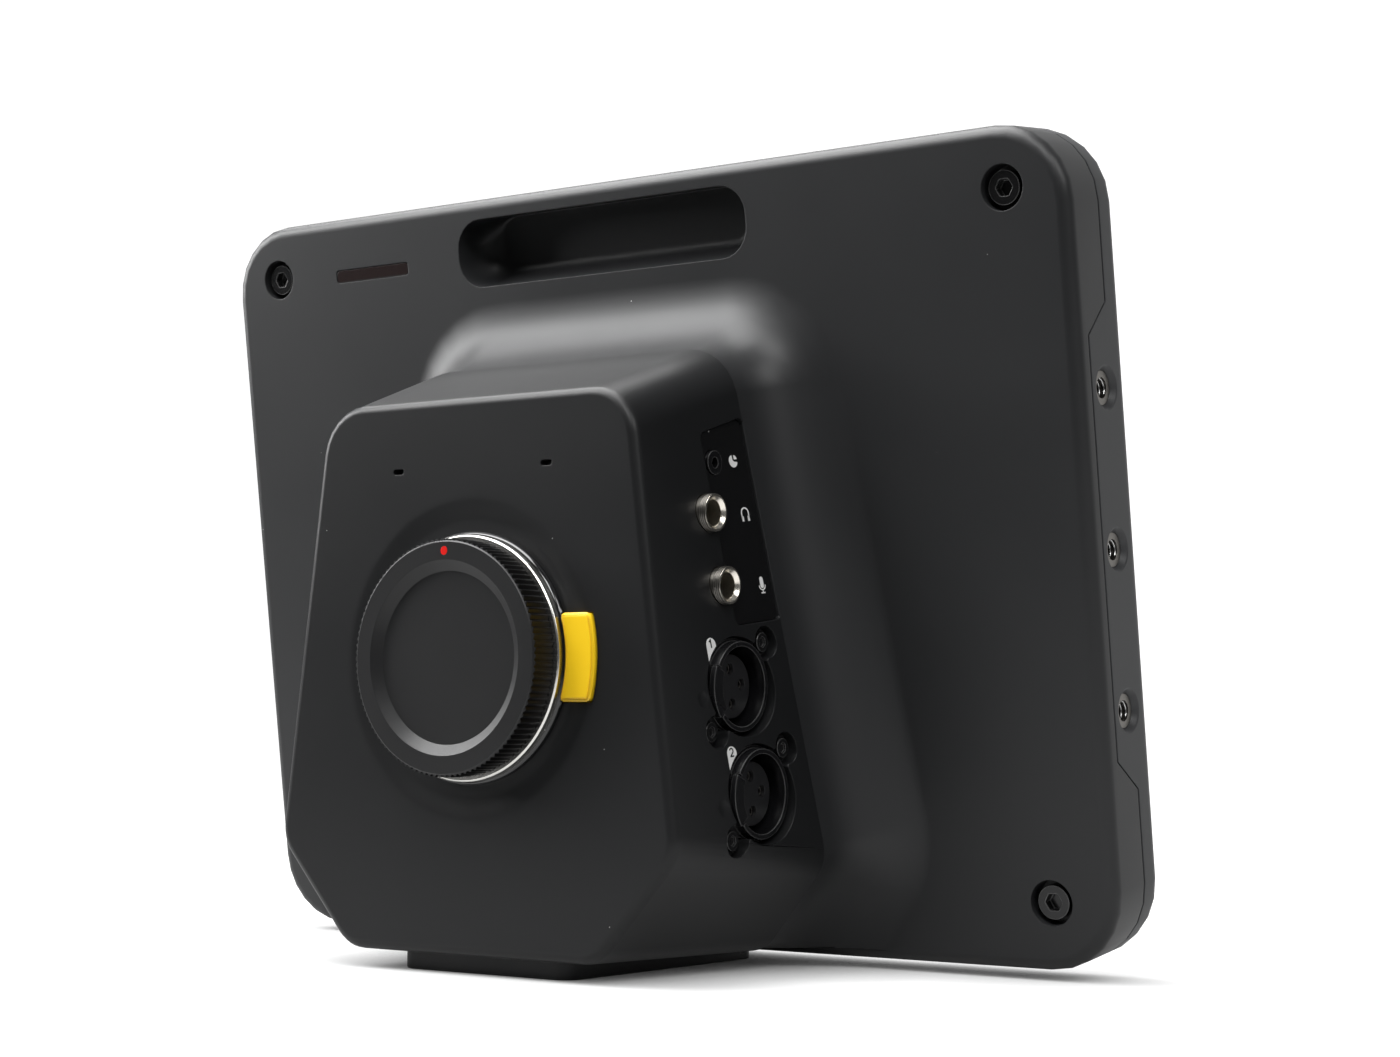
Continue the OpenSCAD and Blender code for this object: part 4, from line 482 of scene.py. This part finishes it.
FINISH = {
    "shell": moulded("panel_charcoal", (0.013, 0.0135, 0.0145), (0.017, 0.0175, 0.0185),
                     rough=(0.4, 0.46), sheen=0.42),
    "cover": moulded("cover_charcoal", (0.026, 0.027, 0.029), (0.033, 0.034, 0.036),
                     rough=(0.46, 0.54)),
    "pod": moulded("pod_black", (0.0065, 0.0068, 0.0074), (0.009, 0.0093, 0.0099),
                   rough=(0.38, 0.44), sheen=0.3),
    "foot": moulded("foot_black", (0.008, 0.008, 0.009), (0.014, 0.014, 0.015),
                    rough=(0.5, 0.62), wear=0.8),
    "cap": moulded("cap_black", (0.008, 0.0082, 0.0088), (0.012, 0.012, 0.0125),
                   rough=(0.36, 0.44), grain=0.15, spacing=7.0, sheen=0.38),
    "plate": moulded("plate_black", (0.003, 0.003, 0.0033), (0.005, 0.005, 0.0055),
                     rough=(0.26, 0.34), bump=0.05),
    "socket": moulded("socket_black", (0.004, 0.004, 0.0045), (0.008, 0.008, 0.009),
                      rough=(0.2, 0.34), bump=0.08, wear=0.9),
    "insert": moulded("insert_black", (0.008, 0.008, 0.009), (0.013, 0.013, 0.014),
                      rough=(0.34, 0.46), bump=0.1, dust=0.05, spacing=3.0),
    "ring": moulded("ring_gloss_black", (0.004, 0.004, 0.0045), (0.006, 0.006, 0.0065),
                    rough=(0.1, 0.16), bump=0.02, coat=0.4),
    "button": moulded("button_yellow", (1.0, 0.62, 0.012), (1.0, 0.66, 0.016),
                      rough=(0.3, 0.38), bump=0.04, dust=0.004, grain=0.5),
    # A darker copy of the cap's black for its sideways rim faces: painted shade, not a second finish.
    "cap_rim_painted_shade": moulded("cap_rim_black", (0.002, 0.002, 0.0022), (0.004, 0.004, 0.0043),
                       rough=(0.38, 0.48), grain=0.15, sheen=0.2),
    "dot": moulded("dot_red", (0.62, 0.012, 0.01), (0.75, 0.02, 0.015),
                   rough=(0.2, 0.3), bump=0.03, dust=0.0),
    "key": moulded("key_rubber", (0.040, 0.041, 0.043), (0.05, 0.051, 0.053),
                   rough=(0.55, 0.65), grain=0.2, wear=0.5),
    "screw": moulded("screw_black", (0.006, 0.006, 0.0065), (0.012, 0.012, 0.0125),
                     rough=(0.16, 0.28), bump=0.06, wear=1.2, metallic=0.3, coat=0.2),
    "tally": moulded("tally_smoke", (0.014, 0.009, 0.009), (0.02, 0.012, 0.011),
                     rough=(0.16, 0.24), bump=0.02, wear=0.2, coat=0.5),
    "board": moulded("board_green", (0.01, 0.07, 0.03), (0.015, 0.09, 0.04),
                     rough=(0.3, 0.45), bump=0.3, grain=0.8, dust=0.0),
    "battery": moulded("battery_wrap", (0.03, 0.06, 0.13), (0.04, 0.08, 0.16),
                       rough=(0.25, 0.35), bump=0.1, grain=1.0, dust=0.0),
    "print": moulded("print_white", (0.74, 0.74, 0.73), (0.82, 0.82, 0.81),
                     rough=(0.5, 0.6), bump=0.05, dust=0.0),
    "glass": moulded("screen_black", (0.0025, 0.0025, 0.003), (0.0035, 0.0035, 0.004),
                     rough=(0.04, 0.07), bump=0.0, dust=0.012, spacing=12.0, coat=0.6),
    "display": moulded("display_dark", (0.012, 0.013, 0.016), (0.016, 0.017, 0.02),
                       rough=(0.25, 0.3), bump=0.02),
    "sensor": moulded("sensor_silicon", (0.02, 0.03, 0.045), (0.03, 0.05, 0.06),
                      rough=(0.08, 0.14), bump=0.02, grain=0.05, dust=0.0),
    "flange": metal("flange_satin", (0.62, 0.61, 0.58), (0.78, 0.77, 0.74), rough=(0.2, 0.3)),
    "nickel": metal("nickel_plate", (0.78, 0.73, 0.64), (0.92, 0.88, 0.8), rough=(0.2, 0.3)),
    "steel": metal("steel_turned", (0.42, 0.42, 0.42), (0.58, 0.58, 0.57), rough=(0.22, 0.36)),
    "alloy": metal("alloy_sheet", (0.5, 0.5, 0.51), (0.62, 0.62, 0.63),
                   rough=(0.35, 0.5), scale=400.0),
    "gold": metal("contact_gold", (0.75, 0.52, 0.2), (0.88, 0.64, 0.28), rough=(0.18, 0.28)),
    "thread": metal("thread_dark_steel", (0.16, 0.15, 0.14), (0.26, 0.25, 0.23), rough=(0.25, 0.4)),
}
print(len(FINISH), "finishes")

# %% [markdown]
# ## Taking over the solid pieces
#
# A solid piece comes in as loose triangles with hard normals. A copy of it is merged, its flat
# faces are joined again, and a small bevel rounds each sharp edge, because it is the highlight on
# the edge that tells the eye how a moulding was made. Normals weighted by the size of each flat
# region keep the large faces flat.

# %% Copy, merge and round the edges
FLAT_WITHIN = 0.05
ONE_PLANE = 0.99999


def merged_copy(name, weld=0.004):
    """The node's mesh as a bmesh whose triangles share their corners and whose flat faces are whole."""
    shape = bmesh.new()
    shape.from_mesh(NODES[name].data)
    bmesh.ops.remove_doubles(shape, verts=shape.verts, dist=weld * MM)
    bmesh.ops.dissolve_limit(shape, angle_limit=math.radians(FLAT_WITHIN), verts=shape.verts,
                             edges=shape.edges, delimit={"NORMAL"})
    return shape


def round_edges(shape, width, segments=2, angle=32.0):
    """Rounds every edge of a bmesh that is sharper than an angle."""
    sharp = [e for e in shape.edges
             if len(e.link_faces) == 2 and e.calc_face_angle() > math.radians(angle)]
    bmesh.ops.bevel(shape, geom=sharp, offset=width * MM, offset_type="OFFSET", segments=segments,
                    profile=0.5, affect="EDGES", clamp_overlap=False, miter_outer="ARC", material=-1)


def flat_regions(mesh, normals, areas):
    """The area of the flat region that each face belongs to."""
    parent = list(range(len(normals)))

    def top(i):
        while parent[i] != i:
            parent[i] = parent[parent[i]]
            i = parent[i]
        return i

    faces_of = {}
    for face in mesh.polygons:
        for key in face.edge_keys:
            faces_of.setdefault(key, []).append(face.index)
    for pair in faces_of.values():
        if len(pair) == 2 and normals[pair[0]].dot(normals[pair[1]]) > ONE_PLANE:
            parent[top(pair[0])] = top(pair[1])
    total = {}
    for i, area in enumerate(areas):
        total[top(i)] = total.get(top(i), 0.0) + area
    return [total[top(i)] for i in range(len(areas))]


def shade_by_region(mesh, angle=38.0):
    """Normals that keep a large flat face flat and put the whole turn into the small faces beside it."""
    normals = [face.normal.copy() for face in mesh.polygons]
    weights = flat_regions(mesh, normals, [face.area for face in mesh.polygons])
    around = {}
    for face in mesh.polygons:
        for corner in face.vertices:
            around.setdefault(corner, []).append(face.index)
    limit = math.cos(math.radians(angle))
    mesh.shade_smooth()
    split = [None] * len(mesh.loops)
    for face in mesh.polygons:
        own = normals[face.index]
        for loop, corner in zip(face.loop_indices, face.vertices):
            total = Vector((0, 0, 0))
            for other in around[corner]:
                if normals[other].dot(own) > limit:
                    total += normals[other] * weights[other]
            split[loop] = total.normalized() if total.length > 0 else own
    mesh.normals_split_custom_set(split)


def add_piece(name, shape, finish, body, takes=()):
    """A finished piece from a bmesh, shaded and riding on its body."""
    mesh = bpy.data.meshes.new(name)
    shape.to_mesh(mesh)
    shape.free()
    mesh.materials.clear()
    mesh.materials.append(FINISH[finish])
    mesh.polygons.foreach_set("material_index", [0] * len(mesh.polygons))
    shade_by_region(mesh)
    piece = new_object(name, mesh)
    if takes:
        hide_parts(*takes)
    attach(piece, body)
    return piece


def dress(name, finish, bevel=0.15, segments=2, weld=0.004):
    """Replaces a solid piece by its finished copy."""
    shape = merged_copy(name, weld)
    round_edges(shape, bevel, segments)
    return add_piece(name + "_finish", shape, finish, BODY_OF[name], takes=[name])


print("ready to dress", len(NODES), "pieces")

# %% Shells, foot and screen side
SHELL_WELD = 0.02

# Each piece: its finish, and how far its edges are rounded in millimetres
DRESSED = {
    "front_shell": ("shell", 0.3), "rear_cover": ("cover", 0.3), "pod_shell": ("pod", 0.3),
    "foot_block": ("foot", 0.5), "inner_chassis": ("alloy", 0.1), "screen_glass": ("glass", 0.2),
    "lcd_module": ("display", 0.2), "main_board": ("board", 0.1), "heat_sink": ("alloy", 0.1),
    "battery_pack": ("battery", 0.6), "front_tally_lens": ("tally", 0.12),
    "front_tally_board": ("board", 0.1), "rear_tally_lens": ("tally", 0.15),
    "key_boards": ("board", 0.1), "microphones": ("steel", 0.2),
    "sensor_frame": ("alloy", 0.2), "filter_glass": ("glass", 0.1), "image_sensor": ("sensor", 0.05),
    "sensor_board": ("board", 0.1), "contact_block": ("gold", 0.1), "pod_screws": ("steel", 0.15),
}
for name, (finish, bevel) in DRESSED.items():
    dress(name, finish, bevel, weld=SHELL_WELD)
print("dressed", len(DRESSED), "shells and inner pieces")

# %% Mount, sockets and small parts
FITTED = {
    "mount_ring": ("ring", 0.1), "bayonet_flange": ("flange", 0.1), "flange_screws": ("steel", 0.06),
    "body_cap": ("cap", 0.08), "cap_index_dot": ("dot", 0.1), "release_button": ("button", 0.6),
    "lock_pin": ("steel", 0.15), "foot_inserts": ("steel", 0.1), "foot_screws": ("steel", 0.15),
    "side_inserts": ("thread", 0.1), "corner_screws": ("screw", 0.25), "sound_plate": ("plate", 0.15),
    "remote_jack": ("socket", 0.15), "headphone_jack": ("nickel", 0.12), "talkback_jack": ("nickel", 0.12),
    "xlr_1_shell": ("socket", 0.2), "xlr_2_shell": ("socket", 0.2), "xlr_1_insert": ("insert", 0.25),
    "xlr_2_insert": ("insert", 0.25), "xlr_1_latch": ("socket", 0.2), "xlr_2_latch": ("socket", 0.2),
    "xlr_contacts": ("thread", 0.05), "xlr_screws": ("screw", 0.15), "picture_plate": ("plate", 0.15),
    "sdi_out_socket": ("nickel", 0.12), "sdi_in_socket": ("nickel", 0.12),
    "reference_socket": ("nickel", 0.12), "optical_cage": ("nickel", 0.08), "power_inlet": ("socket", 0.15),
}
KEYS = ["power", "menu", "display", "up", "down", "talk", "louder", "quieter", "iris", "focus"]
FITTED.update({key + "_key": ("key", 0.35) for key in KEYS})
for name, (finish, bevel) in FITTED.items():
    dress(name, finish, bevel)
# Painted shade: the sideways faces of the cap's ribbed rim take a darker, less shiny copy of the cap's black, so
# the rim reads darker than the cap's face.
cap_mesh = bpy.data.objects["body_cap_finish"].data
cap_mesh.materials.append(FINISH["cap_rim_painted_shade"])
RIM_FROM = 28 * MM
SIDEWAYS = 0.5
for face in cap_mesh.polygons:
    out = math.hypot(face.center.x - LENS.x, face.center.z - LENS.z)
    if out > RIM_FROM and abs(face.normal.y) < SIDEWAYS:
        face.material_index = 1
print("dressed", len(FITTED), "fittings")

# %% [markdown]
# ## Threads
#
# The solid model keeps every thread as a plain bore, so the ridges are laid in here. A thread
# follows a rule, a small square swept along a helix, so it is grown with Geometry Nodes: radius, pitch,
# length and ridge are inputs, and the same group serves the side inserts, the foot and the jacks.

# %% A helical ridge
POINTS_A_TURN = 40
RIDGE_CORNERS = 4


def thread_group():
    """Geometry Nodes that sweep a small square along a helix."""
    group = bpy.data.node_groups.new("helical_ridge", "GeometryNodeTree")
    for label, value in (("Radius", 0.0025), ("Pitch", 0.00127), ("Length", 0.008), ("Ridge", 0.0003)):
        group.interface.new_socket(label, in_out="INPUT", socket_type=FLOAT).default_value = value
    group.interface.new_socket("Finish", in_out="INPUT", socket_type="NodeSocketMaterial")
    group.interface.new_socket("Geometry", in_out="OUTPUT", socket_type="NodeSocketGeometry")
    given, result = group.nodes.new("NodeGroupInput"), group.nodes.new("NodeGroupOutput")
    turns = node(group, "ShaderNodeMath", operation="DIVIDE")
    helix = group.nodes.new("GeometryNodeCurveSpiral")
    helix.inputs["Resolution"].default_value = POINTS_A_TURN
    profile = group.nodes.new("GeometryNodeCurvePrimitiveCircle")
    profile.inputs["Resolution"].default_value = RIDGE_CORNERS
    sweep_ridge = group.nodes.new("GeometryNodeCurveToMesh")
    sweep_ridge.inputs["Fill Caps"].default_value = True
    real = group.nodes.new("GeometryNodeRealizeInstances")
    finish = group.nodes.new("GeometryNodeSetMaterial")
    link(group, given.outputs["Length"], turns.inputs[0])
    link(group, given.outputs["Pitch"], turns.inputs[1])
    link(group, turns.outputs[0], helix.inputs["Rotations"])
    link(group, given.outputs["Radius"], helix.inputs["Start Radius"])
    link(group, given.outputs["Radius"], helix.inputs["End Radius"])
    link(group, given.outputs["Length"], helix.inputs["Height"])
    link(group, given.outputs["Ridge"], profile.inputs["Radius"])
    link(group, helix.outputs["Curve"], sweep_ridge.inputs["Curve"])
    link(group, profile.outputs["Curve"], sweep_ridge.inputs["Profile Curve"])
    link(group, sweep_ridge.outputs["Mesh"], real.inputs["Geometry"])
    link(group, real.outputs["Geometry"], finish.inputs["Geometry"])
    link(group, given.outputs["Finish"], finish.inputs["Material"])
    link(group, finish.outputs["Geometry"], result.inputs["Geometry"])
    return group


THREAD = thread_group()
print("thread group with", len(THREAD.nodes), "nodes")


def lay_thread(name, start, axis, radius, pitch, length, ridge, finish, body):
    """Grows one thread and leaves it as a plain mesh in its place."""
    holder = new_object(name + "_source", bpy.data.meshes.new(name + "_source"))
    grown = holder.modifiers.new("ridge", "NODES")
    grown.node_group = THREAD
    values = {"Radius": radius * MM, "Pitch": pitch * MM, "Length": length * MM, "Ridge": ridge * MM,
              "Finish": FINISH[finish]}
    for item in THREAD.interface.items_tree:
        if item.in_out == "INPUT":
            grown[item.identifier] = values[item.name]
    seen = holder.evaluated_get(bpy.context.evaluated_depsgraph_get())
    mesh = bpy.data.meshes.new_from_object(seen)
    bpy.data.objects.remove(holder)
    turn = Vector(axis).to_track_quat("Z", "Y").to_matrix().to_4x4()
    mesh.transform(Matrix.Translation(start) @ turn)
    mesh.name = name
    mesh.shade_smooth()
    mesh.materials.clear()
    mesh.materials.append(FINISH[finish])
    piece = new_object(name, mesh)
    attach(piece, body)
    return len(mesh.polygons)


# %% Threads of the inserts and the jacks
RIDGE_SINK = 0.1
QUARTER_INCH_PITCH = 1.27
THREE_EIGHTHS_PITCH = 1.59
QUARTER_INCH_BELOW = 3
INSERT_RIDGE = 0.36
ridges = 0
for name, mount in MOUNTS.items():
    if mount["kind"] != "threaded_hole":
        continue
    axis, length, bore = Vector(mount["axis"]), mount["dims"]["length_mm"], mount["dims"]["r_mm"]
    pitch = QUARTER_INCH_PITCH if bore < QUARTER_INCH_BELOW else THREE_EIGHTHS_PITCH
    start = Vector(mount["pos_m"]) - axis * (length / 2 - pitch / 2) * MM
    ridges += lay_thread(name + "_ridge", start, axis, bore + RIDGE_SINK, pitch, length - pitch,
                         INSERT_RIDGE, "steel", "camera")
JACK_R = 4.6
JACK_THREAD = 1.6
JACK_LIP = 0.35
JACK_PITCH = 0.5
JACK_RIDGE = 0.16
for name in ("headphone", "talkback"):
    place = Vector(MOUNTS[name + "_socket"]["pos_m"])
    place.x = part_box(name + "_jack")[1].x - (JACK_THREAD + JACK_LIP) * MM
    ridges += lay_thread(name + "_jack_ridge", place, (1, 0, 0), JACK_R - RIDGE_SINK / 2, JACK_PITCH,
                         JACK_THREAD, JACK_RIDGE, "thread", "camera")
print("threads with", ridges, "faces")

# %% [markdown]
# ## Prints
#
# The small white symbols are ink on a curved or sunk surface. Each is drawn flat as strokes, and a
# ray from every corner of the drawing finds the surface under it, so the ink lies on the moulding
# whatever its slope. Only general symbols are drawn: a disc, headphones, a microphone and two
# numbers on the side, and plain signs such as arrows, a plus and a minus on the keys.

# %% Drawing with strokes
def arc(x, y, radius, start, end, steps=16):
    """Points along part of a circle, in degrees from the right and turning left."""
    turns = [math.radians(start + (end - start) * i / steps) for i in range(steps + 1)]
    return [(x + radius * math.cos(t), y + radius * math.sin(t)) for t in turns]


def stroke(points, width):
    """The outline of a line of even width through points."""
    path = [Vector(p) for p in points]
    left, right = [], []
    for i, point in enumerate(path):
        behind = (point - path[i - 1]).normalized() if i else None
        ahead = (path[i + 1] - point).normalized() if i + 1 < len(path) else None
        first, last = behind or ahead, ahead or behind
        along = (first + last).normalized()
        side = Vector((-along.y, along.x))
        reach = width / 2 / max(0.4, side.dot(Vector((-first.y, first.x))))
        left.append(point + side * reach)
        right.append(point - side * reach)
    return left + right[::-1]


INK_LIFT = 0.04
INK_ROOT = 0.05


def lay_print(name, under, outlines, to_place, aim, body, finish="print"):
    """Lays drawn outlines as thin ink on the surface of a piece."""
    mesh = (NODES.get(under) or bpy.data.objects[under]).data
    surface = BVHTree.FromPolygons([v.co for v in mesh.vertices], [list(f.vertices) for f in mesh.polygons])
    shape = bmesh.new()
    for outline in outlines:
        tops, roots = [], []
        for point in map(tuple, outline):
            hit, normal, face, distance = surface.ray_cast(to_place(*point), aim)
            assert hit, f"{name} leaves its surface at {point}"
            tops.append(shape.verts.new(hit + normal * INK_LIFT * MM))
            roots.append(shape.verts.new(hit - normal * INK_ROOT * MM))
        shape.faces.new(tops)
        shape.faces.new(roots[::-1])
        for i in range(len(tops)):
            k = (i + 1) % len(tops)
            shape.faces.new((tops[i], roots[i], roots[k], tops[k]))
    bmesh.ops.recalc_face_normals(shape, faces=shape.faces)
    bmesh.ops.triangulate(shape, faces=shape.faces)
    return add_piece(name, shape, finish, body)


print("ink ready")

# %% Symbols on the pod's side
BESIDE = 120


def on_right_side(depth, up):
    """A point well clear of the pod's right side, level with a place on it."""
    return on_panel(BESIDE, depth, up)


INWARD = Vector((-1, 0, 0))

# Each symbol: its depth and height on the panel, its size, and its outlines
SYMBOLS = {
    "remote": (-25.8, 129.5, 0.68, [
        arc(0, 0, 2.3, 100, 350) + [(0.5, -0.2), (-0.2, 0.4)],
        arc(0.5, 0.5, 1.7, 5, 85, 8) + [(0.6, 0.6)],
    ]),
    "headphones": (-25.1, 116.1, 0.62, [
        stroke([(-2.1, -2.0)] + arc(0, 0.6, 2.1, 180, 0) + [(2.1, -2.0)], 0.6),
        stroke([(-1.8, -2.6), (-1.8, -0.6)], 1.2),
        stroke([(1.8, -2.6), (1.8, -0.6)], 1.2),
    ]),
    "microphone": (-24.2, 98.7, 0.68, [
        arc(0.5, 1.7, 0.95, 0, 180, 10) + arc(0.5, -0.6, 0.95, 180, 360, 10),
        stroke(arc(0.5, -0.4, 1.7, 180, 360), 0.45),
        stroke([(0.5, -2.1), (0.5, -3.2)], 0.45),
        stroke([(-0.6, -3.2), (1.6, -3.2)], 0.45),
    ]),
}
for label, (depth, up, size, outlines) in SYMBOLS.items():
    lay_print(label + "_symbol", "sound_plate", [
        [(depth + size * x, up + size * y) for x, y in outline] for outline in outlines
    ], on_right_side, INWARD, "camera")
ROW_D, WELL_R, TAG_R = -39.5, 12.55, 1.7
TAGS = {"first": 75.1, "second": 48.9}
TAG_BACK, TAG_RISE = -8.4, 11.1
NUMBER_SIZE, NUMBER_BACK, NUMBER_RISE = 0.8, -0.1, 0.2
WELL_FROM, WELL_TO = 144.5, 122.5
NUMBERS = {
    "first": [stroke([(-0.6, 0.7), (0.1, 1.2), (0.1, -1.2)], 0.45)],
    "second": [stroke(arc(0, 0.5, 0.75, 160, -40, 10) + [(-0.7, -1.1)], 0.42),
               stroke([(-0.8, -1.1), (0.8, -1.1)], 0.42)],
}
for label, well_up in TAGS.items():
    tag_d, tag_h = ROW_D + TAG_BACK, well_up + TAG_RISE
    lay_print(label + "_channel_tag", "pod_shell", [
        arc(tag_d, tag_h, TAG_R, 0, 180, 12) + arc(ROW_D, well_up, WELL_R, WELL_FROM, WELL_TO, 6),
    ], on_right_side, INWARD, "camera")
    lay_print(label + "_channel_number", label + "_channel_tag", [
        [(tag_d + NUMBER_SIZE * x + NUMBER_BACK, tag_h + NUMBER_SIZE * y + NUMBER_RISE) for x, y in outline]
        for outline in NUMBERS[label]
    ], on_right_side, INWARD, "camera", "plate")
print("side symbols laid")

# %% Symbols on the keys
key_up_way = Vector((0, -math.sin(LEAN), math.cos(LEAN)))
KEY_RIGHT = Vector((-1, 0, 0))
THIN = 0.4
BEHIND_KEY = 20 * MM
BLADE_TURNS = (0.0, 1.257, 2.513, 3.770, 5.027)
BLADE_TWIST = 1.2


def blade(turn):
    """One slanted line of the iris symbol."""
    inner = turn + BLADE_TWIST
    return stroke([(1.6 * math.cos(turn), 1.6 * math.sin(turn)),
                   (0.8 * math.cos(inner), 0.8 * math.sin(inner))], 0.3)


KEY_SYMBOLS = {
    "power": [stroke(arc(0, 0, 1.5, 125, 415, 20), THIN), stroke([(0, 0.4), (0, 2.0)], THIN)],
    "menu": [stroke([(-1.6, y), (1.6, y)], THIN) for y in (-1.2, 0, 1.2)],
    "display": [stroke([(-2, -1.3), (2, -1.3)], THIN), stroke([(-2, 1.3), (2, 1.3)], THIN),
                stroke([(-2, -1.5), (-2, 1.5)], THIN), stroke([(2, -1.5), (2, 1.5)], THIN)],
    "up": [[(-1.5, -0.9), (1.5, -0.9), (0, 1.2)]],
    "down": [[(-1.5, 0.9), (0, -1.2), (1.5, 0.9)]],
    "talk": [stroke(arc(0, 0, 0.7, 0, 350, 16), THIN), stroke(arc(0, 0, 1.8, -50, 50, 10), THIN),
             stroke(arc(0, 0, 1.8, 130, 230, 10), THIN)],
    "louder": [stroke([(-1.4, 0), (1.4, 0)], THIN), stroke([(0, 0.2), (0, 1.4)], THIN),
               stroke([(0, -1.4), (0, -0.2)], THIN)],
    "quieter": [stroke([(-1.4, 0), (1.4, 0)], THIN)],
    "iris": [stroke(arc(0, 0, 1.8, 0, 350, 24), THIN)] + [blade(turn) for turn in BLADE_TURNS],
    "focus": [stroke([(x, -0.8 * y), (x, y * -1.6), (x * 0.4, y * -1.6)], THIN)
              for x in (-1.9, 1.9) for y in (-1, 1)],
}
for key, outlines in KEY_SYMBOLS.items():
    low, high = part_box(key + "_key")
    centre = (low + high) / 2

    def over_key(right, up, centre=centre):
        return centre + (KEY_RIGHT * right + key_up_way * up) * MM - key_axis * BEHIND_KEY

    lay_print(key + "_symbol", key + "_key", outlines, over_key, key_axis, BODY_OF[key + "_key"])
print("key symbols laid")
